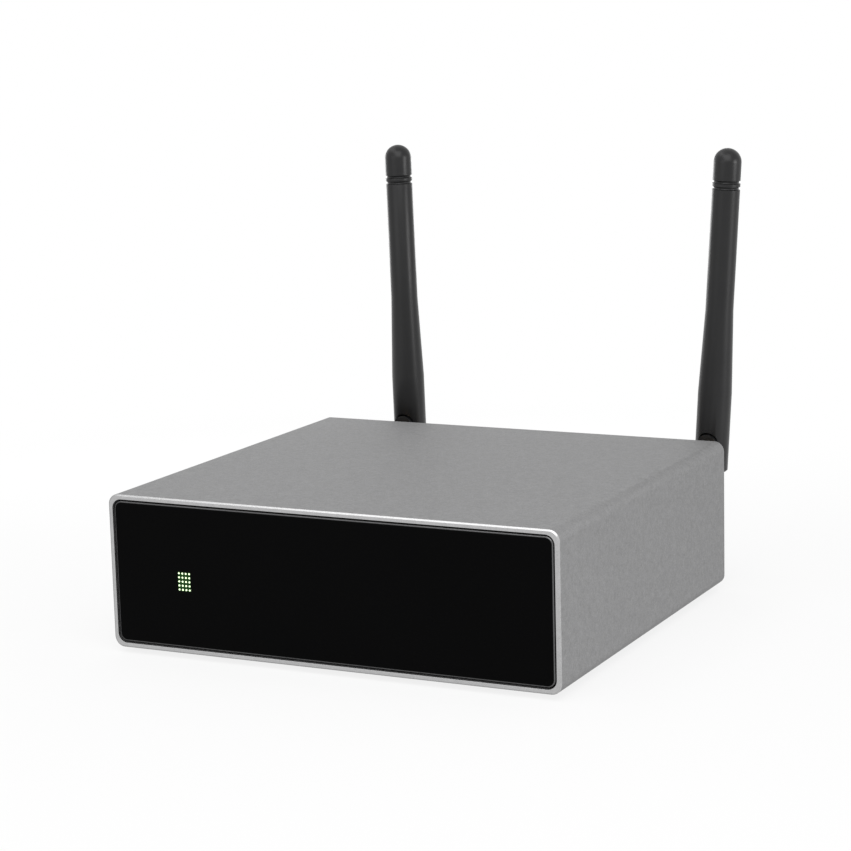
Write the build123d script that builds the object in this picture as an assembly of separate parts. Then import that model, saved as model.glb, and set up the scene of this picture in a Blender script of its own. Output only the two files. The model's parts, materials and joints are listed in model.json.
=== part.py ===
from build123d import *
import math
import os

# Streaming amplifier: an extruded aluminium sleeve closed by a gloss front panel and a connector
# panel, with two folding antennas behind it. All sizes are millimetres.
# X runs to the right as seen from the front, Y to the rear and Z up from the table.
# Everything is placed from the middle of the sleeve's front end, and moved once at the end so that
# the origin lies under the middle of the sleeve's width and of the overall depth.

# Sleeve
case_width = 162.0
case_height = 52.0
case_depth = 150.0
case_corner = 4.2
inner_corner = 3.2
case_wall = 1.6
rim_round = 0.5
rear_edge_break = 0.3
foot_height = 2.0
port_radius = 2.6
port_inset = 2.8
port_slit = 1.0
rib_depth = 2.0
rib_thickness = 1.2
board_height = 10.0

# The x places below, across the rear panel and the boards, are shares of the case's width

# Fits
slide_gap = 0.3
screw_gap = 0.05
running_gap = 0.05
seat_gap = 0.3

# Feet
foot_radius = 6.0
foot_taper = 0.5
foot_inset_x = 17.0
foot_inset_y = 17.0
foot_stem_radius = 2.0
foot_bulb_radius = 2.7
foot_bulb_height = 2.4

# Front
panel_thickness = 3.0
panel_gap = 0.45
panel_bevel = 0.7
panel_recess = 0.2
tape_thickness = 0.5
tape_inset = 7.0
tape_width = 4.0
carrier_thickness = 2.0
carrier_rib_height = 3.0
carrier_rib_thickness = 1.5
dot_columns = 4
dot_rows = 5
dot_pitch_x = 1.3
dot_pitch_z = 1.37
dot_radius = 0.35
dot_centre_x = -0.32654 * case_width
dot_drop = 1.6
guide_margin = 1.6
guide_flange = 1.2
guide_flange_thickness = 1.2
guide_led_gap = 0.1
led_size = 0.8
led_height = 0.6
display_width = 40.0
display_height = 22.0
display_thickness = 1.2
display_standoff = 3.7
display_boss_radius = 2.2
display_boss_inset = 3.2

# Screws
case_screw_radius = 1.25
case_screw_head = 2.3
case_screw_length = 9.0
case_screw_drive = 0.9
small_screw_radius = 0.8
small_screw_head = 1.7
small_screw_head_height = 1.2
small_screw_slot = 0.5

# Rear panel
rear_thickness = 1.5
rear_recess = 1.0
rear_gap = 0.15
cutout_gap = 0.2
nose_proud = 0.4

# Main board
board_thickness = 1.6
board_front_gap = 8.0
board_rear_gap = 0.5

# Flat cable between the boards
ribbon_width = 10.0
ribbon_thickness = 0.3
ribbon_socket_width = 14.0
ribbon_socket_height = 2.6
ribbon_socket_depth = 4.0
ribbon_main_y = 12.0
ribbon_bend_share = 0.45

# Amplifier chip and heat sink
heat_sink_x = -0.19753 * case_width
heat_sink_y = 78.0
heat_sink_width = 46.0
heat_sink_length = 40.0
heat_sink_base = 3.0
heat_sink_height = 20.0
heat_sink_fins = 9
heat_sink_fin = 1.3
chip_size = 14.0
chip_height = 1.2
heat_sink_screw_radius = 1.25
heat_sink_screw_inset = 3.2
heat_sink_screw_head = 2.3
heat_sink_screw_head_height = 1.6
heat_sink_screw_slot = 0.6
heat_sink_screw_slot_depth = 0.7
heat_sink_screw_tail = 1.0

# Output filters and reservoir capacitors
inductor_size = 11.0
inductor_height = 8.5
inductor_corner = 1.8
inductor_y = 119.0
inductor_xs = [share * case_width for share in (-0.40741, -0.31481, -0.22222, -0.12963)]
film_size = (13.0, 6.0, 11.0)
film_y = 105.5
bulk_radius = 8.0
bulk_height = 25.0
bulk_wall_gap = 5.4
bulk_ys = (92.0, 72.0)
bulk_crimp_start = 2.0
bulk_crimp_depth = 0.6
bulk_crimp_width = 0.4
bulk_edge = 0.8

# Streaming module
module_x = 0.15432 * case_width
module_y = 70.0
module_width = 54.0
module_length = 40.0
module_thickness = 1.2
module_rise = 6.0
header_width = 2.5
header_end_gap = 2.0
shield_width = 36.0
shield_length = 30.0
shield_height = 3.2
shield_wall = 0.4
shield_corner = 1.5

# Antenna leads. The runs are shares of the way across and steps to the rear from the module's socket
coax_socket_radius = 1.2
coax_socket_height = 1.4
coax_socket_inset_x = 8.0
coax_socket_inset_y = 3.0
coax_radius = 0.6
coax_rise = 14.0
coax_dip = 4.0
coax_runs = ((0.35, 14.0), (0.85, 26.0))
coax_tail = 12.0
coax_bends = [5.0, 8.0, 8.0, 5.0]

# Speaker posts
post_xs = [share * case_width for share in (-0.4321, -0.31451, -0.21605, -0.09846)]
post_rise = 13.4
post_collar_radius = 5.5
post_collar_length = 4.0
post_collar_break = 0.6
post_spigot_radius = 3.4
post_core_radius = 3.0
post_core_length = 15.0
post_tail_radius = 2.0
post_tail_length = 8.0
banana_radius = 2.0
banana_depth = 14.0
wire_hole_radius = 1.3
wire_hole_offset = 3.2
knob_radius = 5.5
knob_end_wall = 1.2
knob_end_break = 1.2
knob_lead = 0.6
knob_mouth_radius = 2.5
knob_flutes = 12
knob_flute_radius = 0.8
knob_flute_offset = 0.3
knob_flute_start = 2.0
bush_radius = 4.2
bush_length = 9.0
bush_inset = 1.0
post_nut_flats = 7.0
post_nut_length = 3.0
tab_thickness = 0.8
tab_width = 6.0
insulator_radius = 5.0
insulator_thickness = 1.5

# Signal jacks, from the left of the panel as seen from the front
rca_xs = [share * case_width for share in (-0.00617, -0.00617, 0.07407)]
rca_rises = (7.4, 21.4, 7.4)
rca_barrel_radius = 4.15
rca_seat_radius = 3.9
rca_seat_proud = 0.3
rca_seat_depth = 6.0
rca_end_break = 0.5
rca_barrel_length = 9.5
rca_pin_radius = 1.65
rca_insert_radius = 3.3
rca_insert_drop = 0.4
rca_body_width = 10.4
rca_body_depth = 12.0
rca_body_margin = 5.6
trigger_x = 0.13765 * case_width
trigger_nose_radius = 3.7
trigger_bore_radius = 1.8
trigger_bore_depth = 12.0
trigger_body = (8.0, 12.0, 7.4)
button_x = 0.18704 * case_width
button_rise = 3.6
button_radius = 1.7
button_proud = 0.9
button_travel = 0.6
button_break = 0.3
button_stop_gap = 0.2
plunger_radius = 1.3
plunger_engaged = 1.4
switch_gap = 1.0
switch_body = (6.0, 4.0, 6.4)
usb_x = 0.25309 * case_width
usb_shell = (13.2, 14.0, 5.8)
usb_rise = 4.2
usb_wall = 0.4
usb_corner = 0.6
usb_back = 3.0
usb_leg = (1.5, 1.0)
usb_tongue = (11.2, 9.0, 1.8)
usb_tongue_rise = 0.2
ethernet_x = 0.35494 * case_width
ethernet_body = (16.0, 21.0, 13.6)
ethernet_cavity = (11.9, 13.0, 8.6)
ethernet_latch = (6.2, 9.0, 1.9)
contact_count = 8
contact_pitch = 1.02
contact_wire = 0.4
contact_length = 10.0
contact_knee = 1.0
contact_tip = 3.0
contact_drop = 2.2
dc_x = 0.44321 * case_width
dc_body = (9.0, 14.0, 11.0)
dc_bore_radius = 3.15
dc_bore_depth = 9.0
dc_ring_step = 0.3
dc_pin_radius = 1.0
dc_pin_recess = 1.0

# Antennas
jack_x_left = -0.31728 * case_width
jack_x_right = 0.43642 * case_width
jack_drop = 7.8
antenna_lean_left = -1.2
antenna_lean_right = 3.5
jack_thread_radius = 3.1
jack_thread_length = 7.6
jack_flange_radius = 3.9
jack_flange_thickness = 2.5
jack_socket_radius = 2.35
jack_socket_depth = 5.0
jack_end_break = 0.4
jack_nut_flats = 8.0
jack_nut_thickness = 2.0
jack_washer_radius = 4.5
jack_washer_thickness = 0.5
plug_nut_flats = 8.0
plug_nut_start = 2.6
plug_nut_length = 5.8
plug_nut_face = 4.3
plug_nut_cone = 1.1
plug_nut_web = 0.6
plug_ferrule_radius = 2.25
plug_ferrule_gap = 0.6
plug_ferrule_tail = 0.4
knuckle_collar_radius = 4.9
knuckle_collar_length = 1.6
knuckle_collar_break = 0.3
knuckle_gap = 0.15
hinge_offset = 16.5
knuckle_barrel_radius = 4.6
knuckle_width = 7.0
tongue_drop = 0.6
hinge_pin_radius = 1.0
hinge_pin_length = 10.4
blade_length = 117.0
blade_tip_radius = 5.0
blade_foot_radius = 6.1
blade_flare_start = 58.0
blade_flare_end = 88.0
blade_slot_gap = 0.3
blade_arch_rise = 8.7
blade_end_break = 0.6
blade_bore_radius = 3.4
blade_bore_floor = 20.0
groove_radius = 0.55
groove_first = 11.9
groove_step = 2.2
cap_spigot_length = 6.0
element_wire_radius = 0.5
element_sleeve_radius = 2.6
element_sleeve_length = 26.0

# Places worked out from the sizes above
inner_width = case_width - 2 * case_wall
inner_height = case_height - 2 * case_wall
case_bottom = foot_height
case_top = foot_height + case_height
case_middle = foot_height + case_height / 2
inner_bottom = case_bottom + case_wall
inner_top = case_top - case_wall
panel_back = panel_recess + panel_thickness
carrier_front = panel_back + tape_thickness
carrier_back = carrier_front + carrier_thickness
rear_face = case_depth - rear_recess
rear_inside = rear_face - rear_thickness
board_bottom = case_bottom + board_height
board_top = board_bottom + board_thickness
dot_centre_z = case_middle - dot_drop
ribbon_socket_x = dot_centre_x
bulk_x = inner_width / 2 - bulk_wall_gap - bulk_radius
post_z = board_top + post_rise
rca_zs = [board_top + rise for rise in rca_rises]
jack_z = case_top - jack_drop
board_front = carrier_back + board_front_gap
board_rear = rear_inside - board_rear_gap
port_x = inner_width / 2 - port_inset
port_zs = (inner_bottom + port_inset, inner_top - port_inset)
plug_nut_end = rear_face + plug_nut_start + plug_nut_length
knuckle_start = plug_nut_end + knuckle_gap
knuckle_collar_end = knuckle_start + knuckle_collar_length
hinge_y = rear_face + hinge_offset
blade_top_rise = blade_length - blade_foot_radius
arch_radius = knuckle_width / 2 + blade_slot_gap

# The origin lies half-way between the sleeve's front end and the antennas' backs
overall_depth = hinge_y + blade_foot_radius
row_origin = (0, overall_depth / 2, 0)


def along_y(sketch, start, end):
    """A sketch drawn as x and z, extruded from y = start to y = end."""
    return Pos(0, start, 0) * extrude(Plane.XZ * sketch, amount=start - end)


def rod(x, z, start, end, radius):
    """A round bar along Y."""
    return along_y(Pos(x, z) * Circle(radius), start, end)


def hexagon_bar(x, z, start, end, flats):
    """A hexagonal bar along Y, measured across its flats."""
    return along_y(Pos(x, z) * RegularPolygon(flats / 2, 6, major_radius=False), start, end)


def block(x_range, y_range, z_range):
    """A box between two corners."""
    low = (x_range[0], y_range[0], z_range[0])
    high = (x_range[1], y_range[1], z_range[1])
    size = [high[i] - low[i] for i in range(3)]
    return Pos(*low) * Box(*size, align=(Align.MIN, Align.MIN, Align.MIN))


def about(centre, size):
    """The range of a size about its middle."""
    return centre - size / 2, centre + size / 2


def centred_block(x, y_range, z_range, width):
    """A box of a width about x."""
    return block(about(x, width), y_range, z_range)


def turned(points, x, z):
    """A body of revolution about the Y axis line at x, z, from (radius, y) points."""
    profile = make_face(Polyline(*[(radius, y) for radius, y in points], close=True))
    return Pos(x, 0, z) * revolve(profile, Axis.Y)


def one(shape):
    """The single solid of a shape that should be in one piece."""
    solids = shape.solids()
    assert len(solids) == 1, f"expected one solid, found {len(solids)}"
    return solids[0]


# Sleeve and feet


def inner_outline(gap):
    """The sleeve's inside outline, drawn in by a gap."""
    return Pos(0, case_middle) * RectangleRounded(
        inner_width - 2 * gap, inner_height - 2 * gap, inner_corner - gap
    )


def port_corners():
    """Side and height signs with the centre of each of the four screw ports."""
    for side in (-1, 1):
        for up, z in zip((-1, 1), port_zs):
            yield side, up, side * port_x, z


def port_sketch(side, up, x, z):
    """One screw port: a round boss run into its corner, with its bore and slit."""
    reach = port_inset + case_wall / 2
    boss = Pos(x, z) * Circle(port_radius)
    boss += Pos(x + side * reach / 2, z) * Rectangle(reach, 2 * port_radius)
    boss += Pos(x, z + up * reach / 2) * Rectangle(2 * port_radius, reach)
    boss += Pos(x + side * reach / 2, z + up * reach / 2) * Rectangle(reach, reach)
    boss -= Pos(x, z) * Circle(case_screw_radius + screw_gap)
    slit_angle = math.degrees(math.atan2(-up, -side))
    slit = Pos(x, z) * Rot(0, 0, slit_angle) * Pos(port_radius, 0) * Rectangle(2 * port_radius, port_slit)
    return boss - slit


def rib_sketch(side):
    """The pair of ribs that hold one edge of the main board."""
    reach = rib_depth + case_wall / 2
    x = side * (inner_width / 2 + case_wall / 2 - reach / 2)
    below = Pos(x, board_bottom - rib_thickness / 2) * Rectangle(reach, rib_thickness)
    above_z = board_top + slide_gap / 2 + rib_thickness / 2
    above = Pos(x, above_z) * Rectangle(reach, rib_thickness)
    return below + above


def foot_places():
    for side in (-1, 1):
        for y in (foot_inset_y, case_depth - foot_inset_y):
            yield side * (case_width / 2 - foot_inset_x), y


def make_sleeve():
    outline = Pos(0, case_middle) * RectangleRounded(case_width, case_height, case_corner)
    shell = along_y(outline, 0, case_depth)
    shell = fillet(shell.faces().sort_by(Axis.Y)[0].edges(), rim_round)
    shell = chamfer(shell.faces().sort_by(Axis.Y)[-1].edges(), rear_edge_break)
    shell -= along_y(inner_outline(0), 0, case_depth)
    inside = rib_sketch(-1) + rib_sketch(1)
    for side, up, x, z in port_corners():
        inside += port_sketch(side, up, x, z)
    inside &= inner_outline(-case_wall / 2)
    shell += along_y(inside, carrier_back, rear_inside)
    for x, y in foot_places():
        shell -= Pos(x, y, inner_bottom) * Cylinder(foot_stem_radius + screw_gap, 3 * case_wall)
    return one(shell)


def make_foot(x, y):
    """A rubber foot pushed into its hole: a tapered pad, a stem and a bulb inside the sleeve."""
    points = (
        (0, 0),
        (foot_radius - foot_taper, 0),
        (foot_radius, foot_height / 2),
        (foot_radius, foot_height),
        (foot_stem_radius, foot_height),
        (foot_stem_radius, inner_bottom),
        (foot_bulb_radius, inner_bottom),
        (foot_stem_radius / 2, inner_bottom + foot_bulb_height),
        (0, inner_bottom + foot_bulb_height),
    )
    profile = make_face(Plane.XZ * Polyline(*points, close=True))
    return Pos(x, y, 0) * revolve(profile, Axis.Z)


# Front assembly


def dot_places():
    for column in range(dot_columns):
        for row in range(dot_rows):
            x = dot_centre_x + (column - (dot_columns - 1) / 2) * dot_pitch_x
            z = dot_centre_z + (row - (dot_rows - 1) / 2) * dot_pitch_z
            yield x, z


def dot_discs(radius):
    return Sketch() + [Pos(x, z) * Circle(radius) for x, z in dot_places()]


def guide_outline(margin):
    width = (dot_columns - 1) * dot_pitch_x + 2 * margin
    height = (dot_rows - 1) * dot_pitch_z + 2 * margin
    return Pos(dot_centre_x, dot_centre_z) * Rectangle(width, height)


def make_front_panel():
    panel = along_y(inner_outline(panel_gap), panel_recess, panel_back)
    panel = chamfer(panel.faces().sort_by(Axis.Y)[0].edges(), panel_bevel)
    return panel - along_y(dot_discs(dot_radius + screw_gap), 0, panel_back)


def make_light_guide():
    """A clear block with one pin behind each light point, flanged against the carrier."""
    led_face = carrier_back + display_standoff - led_height
    guide = along_y(guide_outline(guide_margin), panel_back, led_face - guide_led_gap)
    flange = guide_outline(guide_margin + guide_flange)
    guide += along_y(flange, carrier_back, carrier_back + guide_flange_thickness)
    guide += along_y(dot_discs(dot_radius), panel_recess, panel_back + screw_gap)
    return one(guide)


def make_panel_tape():
    ring = inner_outline(0)
    outer = Pos(0, case_middle) * Rectangle(inner_width - 2 * tape_inset, inner_height - 2 * tape_inset)
    hole_inset = tape_inset + tape_width
    hole = Pos(0, case_middle) * Rectangle(inner_width - 2 * hole_inset, inner_height - 2 * hole_inset)
    return one(along_y(ring & outer - hole, panel_back, carrier_front))


def display_boss_places():
    for side in (-1, 1):
        for up in (-1, 1):
            x = dot_centre_x + side * (display_width / 2 - display_boss_inset)
            z = dot_centre_z + up * (display_height / 2 - display_boss_inset)
            yield x, z


def make_front_carrier():
    carrier = along_y(inner_outline(slide_gap), carrier_front, carrier_back)
    for side in (-1, 1):
        x = side * (inner_width / 2 - 2 * port_inset - port_radius)
        z_range = (port_zs[0] + port_radius, port_zs[1] - port_radius)
        y_range = (carrier_back, carrier_back + carrier_rib_height)
        carrier += centred_block(x, y_range, z_range, carrier_rib_thickness)
    boss_end = carrier_back + display_standoff
    for x, z in display_boss_places():
        carrier += rod(x, z, carrier_back, boss_end, display_boss_radius)
        carrier -= rod(x, z, carrier_back - carrier_thickness / 2, boss_end, small_screw_radius + screw_gap)
    carrier -= along_y(guide_outline(guide_margin + screw_gap), carrier_front, carrier_back)
    for _, _, x, z in port_corners():
        carrier -= countersunk_screw(x, z, carrier_front, 1, screw_gap)
    return one(carrier)


def countersunk_screw(x, z, face, direction, gap=0.0):
    """A flat-headed case screw with its head flush at y = face; a gap makes its hole."""
    head = case_screw_head + gap
    shank = case_screw_radius + gap
    sink = head - shank
    points = (
        (0, face),
        (head, face),
        (shank, face + direction * sink),
        (shank, face + direction * case_screw_length),
        (0, face + direction * case_screw_length),
    )
    return turned(points, x, z)


def with_drive(screw, x, z, face, direction):
    """The screw with a hexagonal drive socket in its head."""
    start, end = sorted((face, face + direction * case_screw_drive))
    return screw - hexagon_bar(x, z, start, end, case_screw_radius)


def make_case_screws(face, direction):
    screws = []
    for _, _, x, z in port_corners():
        screw = countersunk_screw(x, z, face, direction)
        screws.append(with_drive(screw, x, z, face, direction))
    return screws


def make_display_board():
    start = carrier_back + display_standoff
    outline = Pos(dot_centre_x, dot_centre_z) * Rectangle(display_width, display_height)
    board = along_y(outline, start, start + display_thickness)
    for x, z in display_boss_places():
        board -= rod(x, z, start, start + display_thickness, small_screw_radius + screw_gap)
    return one(board)


def make_display_leds():
    end = carrier_back + display_standoff
    leds = []
    for x, z in dot_places():
        z_range = (z - led_size / 2, z + led_size / 2)
        leds.append(centred_block(x, (end - led_height, end), z_range, led_size))
    return leds


def make_display_screws():
    seat = carrier_back + display_standoff + display_thickness
    tip = carrier_back + seat_gap
    screws = []
    for x, z in display_boss_places():
        head = rod(x, z, seat, seat + small_screw_head_height, small_screw_head)
        shank = rod(x, z, tip, seat, small_screw_radius)
        slot_start = seat + small_screw_head_height / 2
        slot_end = seat + small_screw_head_height
        z_range = (z - small_screw_head, z + small_screw_head)
        slot = centred_block(x, (slot_start, slot_end), z_range, small_screw_slot)
        screws.append(head + shank - slot)
    return screws


# Flat cable between the boards


def ribbon_ends():
    """Where the flat cable leaves the display board's socket and enters the main board's."""
    top_y = carrier_back + display_standoff + display_thickness + ribbon_socket_height
    top = (top_y, dot_centre_z)
    low = (board_front + ribbon_main_y, board_top + ribbon_socket_height / 2)
    return top, low


def make_ribbon_sockets():
    (top_y, top_z), (low_y, _) = ribbon_ends()
    upper_z = (top_z - ribbon_socket_depth / 2, top_z + ribbon_socket_depth / 2)
    upper = centred_block(
        ribbon_socket_x, (top_y - ribbon_socket_height, top_y), upper_z, ribbon_socket_width
    )
    lower_y = (low_y, low_y + ribbon_socket_depth)
    lower_z = (board_top, board_top + ribbon_socket_height)
    lower = centred_block(ribbon_socket_x, lower_y, lower_z, ribbon_socket_width)
    return [upper, lower]


def make_ribbon_cable():
    (top_y, top_z), (low_y, low_z) = ribbon_ends()
    bend_y = (top_y + low_y) / 2
    points = [
        (ribbon_socket_x, top_y, top_z),
        (ribbon_socket_x, bend_y, top_z),
        (ribbon_socket_x, bend_y, low_z),
        (ribbon_socket_x, low_y, low_z),
    ]
    path = FilletPolyline(*points, radius=ribbon_bend_share * (bend_y - top_y))
    section = Plane(origin=path @ 0, z_dir=path % 0, x_dir=(1, 0, 0))
    return sweep(section * Rectangle(ribbon_width, ribbon_thickness), path=path)


# Main board and what stands on it


def make_main_board():
    width = inner_width - 2 * slide_gap
    board = block(about(0, width), (board_front, board_rear), (board_bottom, board_top))
    hole = heat_sink_screw_radius + screw_gap
    for x, y in heat_sink_screw_places():
        board -= Pos(x, y, board_bottom) * Cylinder(hole, 4 * board_thickness)
    return one(board)


def make_amplifier_chip():
    z_range = (board_top, board_top + chip_height)
    return block(about(heat_sink_x, chip_size), about(heat_sink_y, chip_size), z_range)


def heat_sink_screw_places():
    reach_x = heat_sink_width / 2 - heat_sink_screw_inset
    reach_y = heat_sink_length / 2 - heat_sink_screw_inset
    for side in (-1, 1):
        yield heat_sink_x + side * reach_x, heat_sink_y + side * reach_y


def make_heat_sink():
    """A finned block on the amplifier chip, on two legs where its screws pass."""
    base_bottom = board_top + chip_height
    base_top = base_bottom + heat_sink_base
    fins = (base_top, base_bottom + heat_sink_height)
    x_range = about(heat_sink_x, heat_sink_width)
    y_range = about(heat_sink_y, heat_sink_length)
    sink = block(x_range, y_range, (base_bottom, base_top))
    pitch = (heat_sink_width - heat_sink_fin) / (heat_sink_fins - 1)
    for i in range(heat_sink_fins):
        x = x_range[0] + heat_sink_fin / 2 + i * pitch
        sink += centred_block(x, y_range, fins, heat_sink_fin)
    clear = 2 * heat_sink_screw_inset
    hole = heat_sink_screw_radius + screw_gap
    for x, y in heat_sink_screw_places():
        sink += Pos(x, y, (board_top + base_bottom) / 2) * Cylinder(heat_sink_screw_inset, chip_height)
        sink -= block(about(x, clear), about(y, clear), fins)
        sink -= Pos(x, y, base_bottom) * Cylinder(hole, 2 * heat_sink_height)
    return one(sink)


def make_heat_sink_screws():
    seat = board_top + chip_height + heat_sink_base
    top = seat + heat_sink_screw_head_height
    length = seat - board_bottom + heat_sink_screw_tail
    upward = (Align.CENTER, Align.CENTER, Align.MIN)
    downward = (Align.CENTER, Align.CENTER, Align.MAX)
    screws = []
    for x, y in heat_sink_screw_places():
        head = Cylinder(heat_sink_screw_head, heat_sink_screw_head_height, align=upward)
        shank = Cylinder(heat_sink_screw_radius, length, align=downward)
        across = about(x, 2 * heat_sink_screw_head)
        slot = block(across, about(y, heat_sink_screw_slot), (top - heat_sink_screw_slot_depth, top))
        screws.append(Pos(x, y, seat) * (head + shank) - slot)
    return screws


def make_inductors():
    coils = []
    z_range = (board_top, board_top + inductor_height)
    for x in inductor_xs:
        coil = block(about(x, inductor_size), about(inductor_y, inductor_size), z_range)
        coils.append(chamfer(coil.edges().filter_by(Axis.Z), inductor_corner))
    return coils


def make_film_capacitors():
    width, length, height = film_size
    z_range = (board_top, board_top + height)
    return [block(about(x, width), about(film_y, length), z_range) for x in inductor_xs]


def make_bulk_capacitors():
    """Two can capacitors with the crimp ring near the foot and an eased edge at the top."""
    neck = bulk_radius - bulk_crimp_depth
    neck_start = bulk_crimp_start + bulk_crimp_depth
    neck_end = neck_start + bulk_crimp_width
    points = (
        (0, 0),
        (bulk_radius, 0),
        (bulk_radius, bulk_crimp_start),
        (neck, neck_start),
        (neck, neck_end),
        (bulk_radius, neck_end + bulk_crimp_depth),
        (bulk_radius, bulk_height - bulk_edge),
        (bulk_radius - bulk_edge, bulk_height),
        (0, bulk_height),
    )
    can = revolve(make_face(Plane.XZ * Polyline(*points, close=True)), Axis.Z)
    return [Pos(bulk_x, y, board_top) * can for y in bulk_ys]


def module_x_range():
    return about(module_x, module_width)


def module_y_range():
    return about(module_y, module_length)


def make_streaming_module():
    bottom = board_top + module_rise
    return block(module_x_range(), module_y_range(), (bottom, bottom + module_thickness))


def make_module_headers():
    x_low, x_high = module_x_range()
    y_range = about(module_y, module_length - 2 * header_end_gap)
    z_range = (board_top, board_top + module_rise)
    centres = (x_low + header_width, x_high - header_width)
    return [centred_block(x, y_range, z_range, header_width) for x in centres]


def module_top():
    return board_top + module_rise + module_thickness


def make_module_shield():
    """The pressed can over the module's radio, open underneath."""
    top = module_top() + shield_height
    can = block(about(module_x, shield_width), about(module_y, shield_length), (module_top(), top))
    can = fillet(can.edges().filter_by(Axis.Z), shield_corner)
    inside_x = about(module_x, shield_width - 2 * shield_wall)
    inside_y = about(module_y, shield_length - 2 * shield_wall)
    return one(can - block(inside_x, inside_y, (module_top(), top - shield_wall)))


def coax_socket_places():
    """The module's two coax sockets, the left antenna's first."""
    low, high = module_x_range()
    y = module_y_range()[1] - coax_socket_inset_y
    return (low + coax_socket_inset_x, y), (high - coax_socket_inset_x, y)


def make_coax_sockets():
    seat = Align.CENTER, Align.CENTER, Align.MIN
    return [
        Pos(x, y, module_top()) * Cylinder(coax_socket_radius, coax_socket_height, align=seat)
        for x, y in coax_socket_places()
    ]


def make_coax_lead(jack_x, socket):
    """The lead from a coax socket on the module to the back of an antenna jack."""
    x, y = socket
    start_z = module_top() + coax_socket_height
    end_y = rear_inside - jack_flange_thickness
    (first_share, first_step), (last_share, last_step) = coax_runs
    points = [
        (x, y, start_z),
        (x, y, start_z + coax_rise),
        (x + first_share * (jack_x - x), y + first_step, jack_z - coax_dip),
        (x + last_share * (jack_x - x), y + last_step, jack_z),
        (jack_x, end_y - coax_tail, jack_z),
        (jack_x, end_y, jack_z),
    ]
    path = FilletPolyline(*points, radius=coax_bends)
    section = Plane(origin=path @ 0, z_dir=path % 0)
    return sweep(section * Circle(coax_radius), path=path)


def make_antenna_leads():
    jacks = (jack_x_left, jack_x_right)
    return [make_coax_lead(x, socket) for x, socket in zip(jacks, coax_socket_places())]


# Rear panel


def make_rear_panel():
    panel = along_y(inner_outline(rear_gap), rear_inside, rear_face)
    for cut in rear_cuts():
        panel -= along_y(cut, rear_inside, rear_face)
    for _, _, x, z in port_corners():
        panel -= countersunk_screw(x, z, rear_face, -1, screw_gap)
    return one(panel)


def window(x, z, width, height):
    return Pos(x, z) * Rectangle(width + 2 * cutout_gap, height + 2 * cutout_gap)


def rear_cuts():
    """The outlines of every opening in the rear panel."""
    for x in post_xs:
        yield Pos(x, post_z) * Circle(post_spigot_radius + screw_gap)
    for x, z in zip(rca_xs, rca_zs):
        yield Pos(x, z) * Circle(rca_seat_radius + cutout_gap)
    yield Pos(trigger_x, trigger_z()) * Circle(trigger_nose_radius + cutout_gap)
    yield Pos(button_x, button_z()) * Circle(button_radius + cutout_gap)
    yield window(usb_x, usb_z(), usb_shell[0], usb_shell[2])
    yield window(ethernet_x, ethernet_z(), ethernet_body[0], ethernet_body[2])
    yield Pos(dc_x, dc_z()) * Circle(dc_ring_radius() + cutout_gap)
    for x in (jack_x_left, jack_x_right):
        yield Pos(x, jack_z) * Circle(jack_thread_radius + cutout_gap)


def trigger_z():
    return board_top + trigger_body[2] / 2


def button_z():
    return board_top + button_rise


def usb_z():
    return board_top + usb_rise


def ethernet_z():
    return board_top + ethernet_body[2] / 2


def dc_z():
    return board_top + dc_body[2] / 2


def dc_ring_radius():
    return dc_body[0] / 2 - dc_ring_step


# Speaker posts


def make_post_collar(x):
    """The insulator outside the panel, with the spigot that centres the post in its hole."""
    points = (
        (post_tail_radius + screw_gap, rear_inside),
        (post_spigot_radius, rear_inside),
        (post_spigot_radius, rear_face),
        (post_collar_radius, rear_face),
        (post_collar_radius, rear_face + post_collar_length - post_collar_break),
        (post_collar_radius - post_collar_break, rear_face + post_collar_length),
        (post_tail_radius + screw_gap, rear_face + post_collar_length),
    )
    return turned(points, x, post_z)


def make_post_core(x):
    """The metal post: a tail through the panel and a bored barrel outside, cross-drilled for wire."""
    shoulder = rear_face + post_collar_length
    end = shoulder + post_core_length
    tail_end = rear_inside - post_tail_length
    points = (
        (0, tail_end),
        (post_tail_radius, tail_end),
        (post_tail_radius, shoulder),
        (post_core_radius, shoulder),
        (post_core_radius, end),
        (banana_radius, end),
        (banana_radius, end - banana_depth),
        (0, end - banana_depth),
    )
    core = turned(points, x, post_z)
    hole_y = shoulder + wire_hole_offset
    return core - Pos(x, hole_y, post_z) * Cylinder(wire_hole_radius, 4 * post_core_radius)


def make_post_insulator(x):
    start = rear_inside - insulator_thickness
    ring = Circle(insulator_radius) - Circle(post_tail_radius + screw_gap)
    return along_y(Pos(x, post_z) * ring, start, rear_inside)


def make_post_tab(x):
    """The flat tab that carries one speaker output up from the board to its post."""
    end = rear_inside - insulator_thickness
    strip = Pos(x, (board_top + post_z) / 2) * Rectangle(tab_width, post_z - board_top)
    strip += Pos(x, post_z) * Circle(tab_width / 2)
    strip -= Pos(x, post_z) * Circle(post_tail_radius + screw_gap)
    return one(along_y(strip, end - tab_thickness, end))


def make_post_nut(x):
    end = rear_inside - insulator_thickness - tab_thickness
    nut = hexagon_bar(x, post_z, end - post_nut_length, end, post_nut_flats)
    return nut - rod(x, post_z, end - post_nut_length, end, post_tail_radius + screw_gap)


def knob_start():
    return rear_face + post_collar_length + seat_gap


def make_post_bush(x):
    """The threaded brass bush inside a knob."""
    start = knob_start() + bush_inset
    ring = Circle(bush_radius) - Circle(post_core_radius + running_gap)
    return along_y(Pos(x, post_z) * ring, start, start + bush_length)


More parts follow.
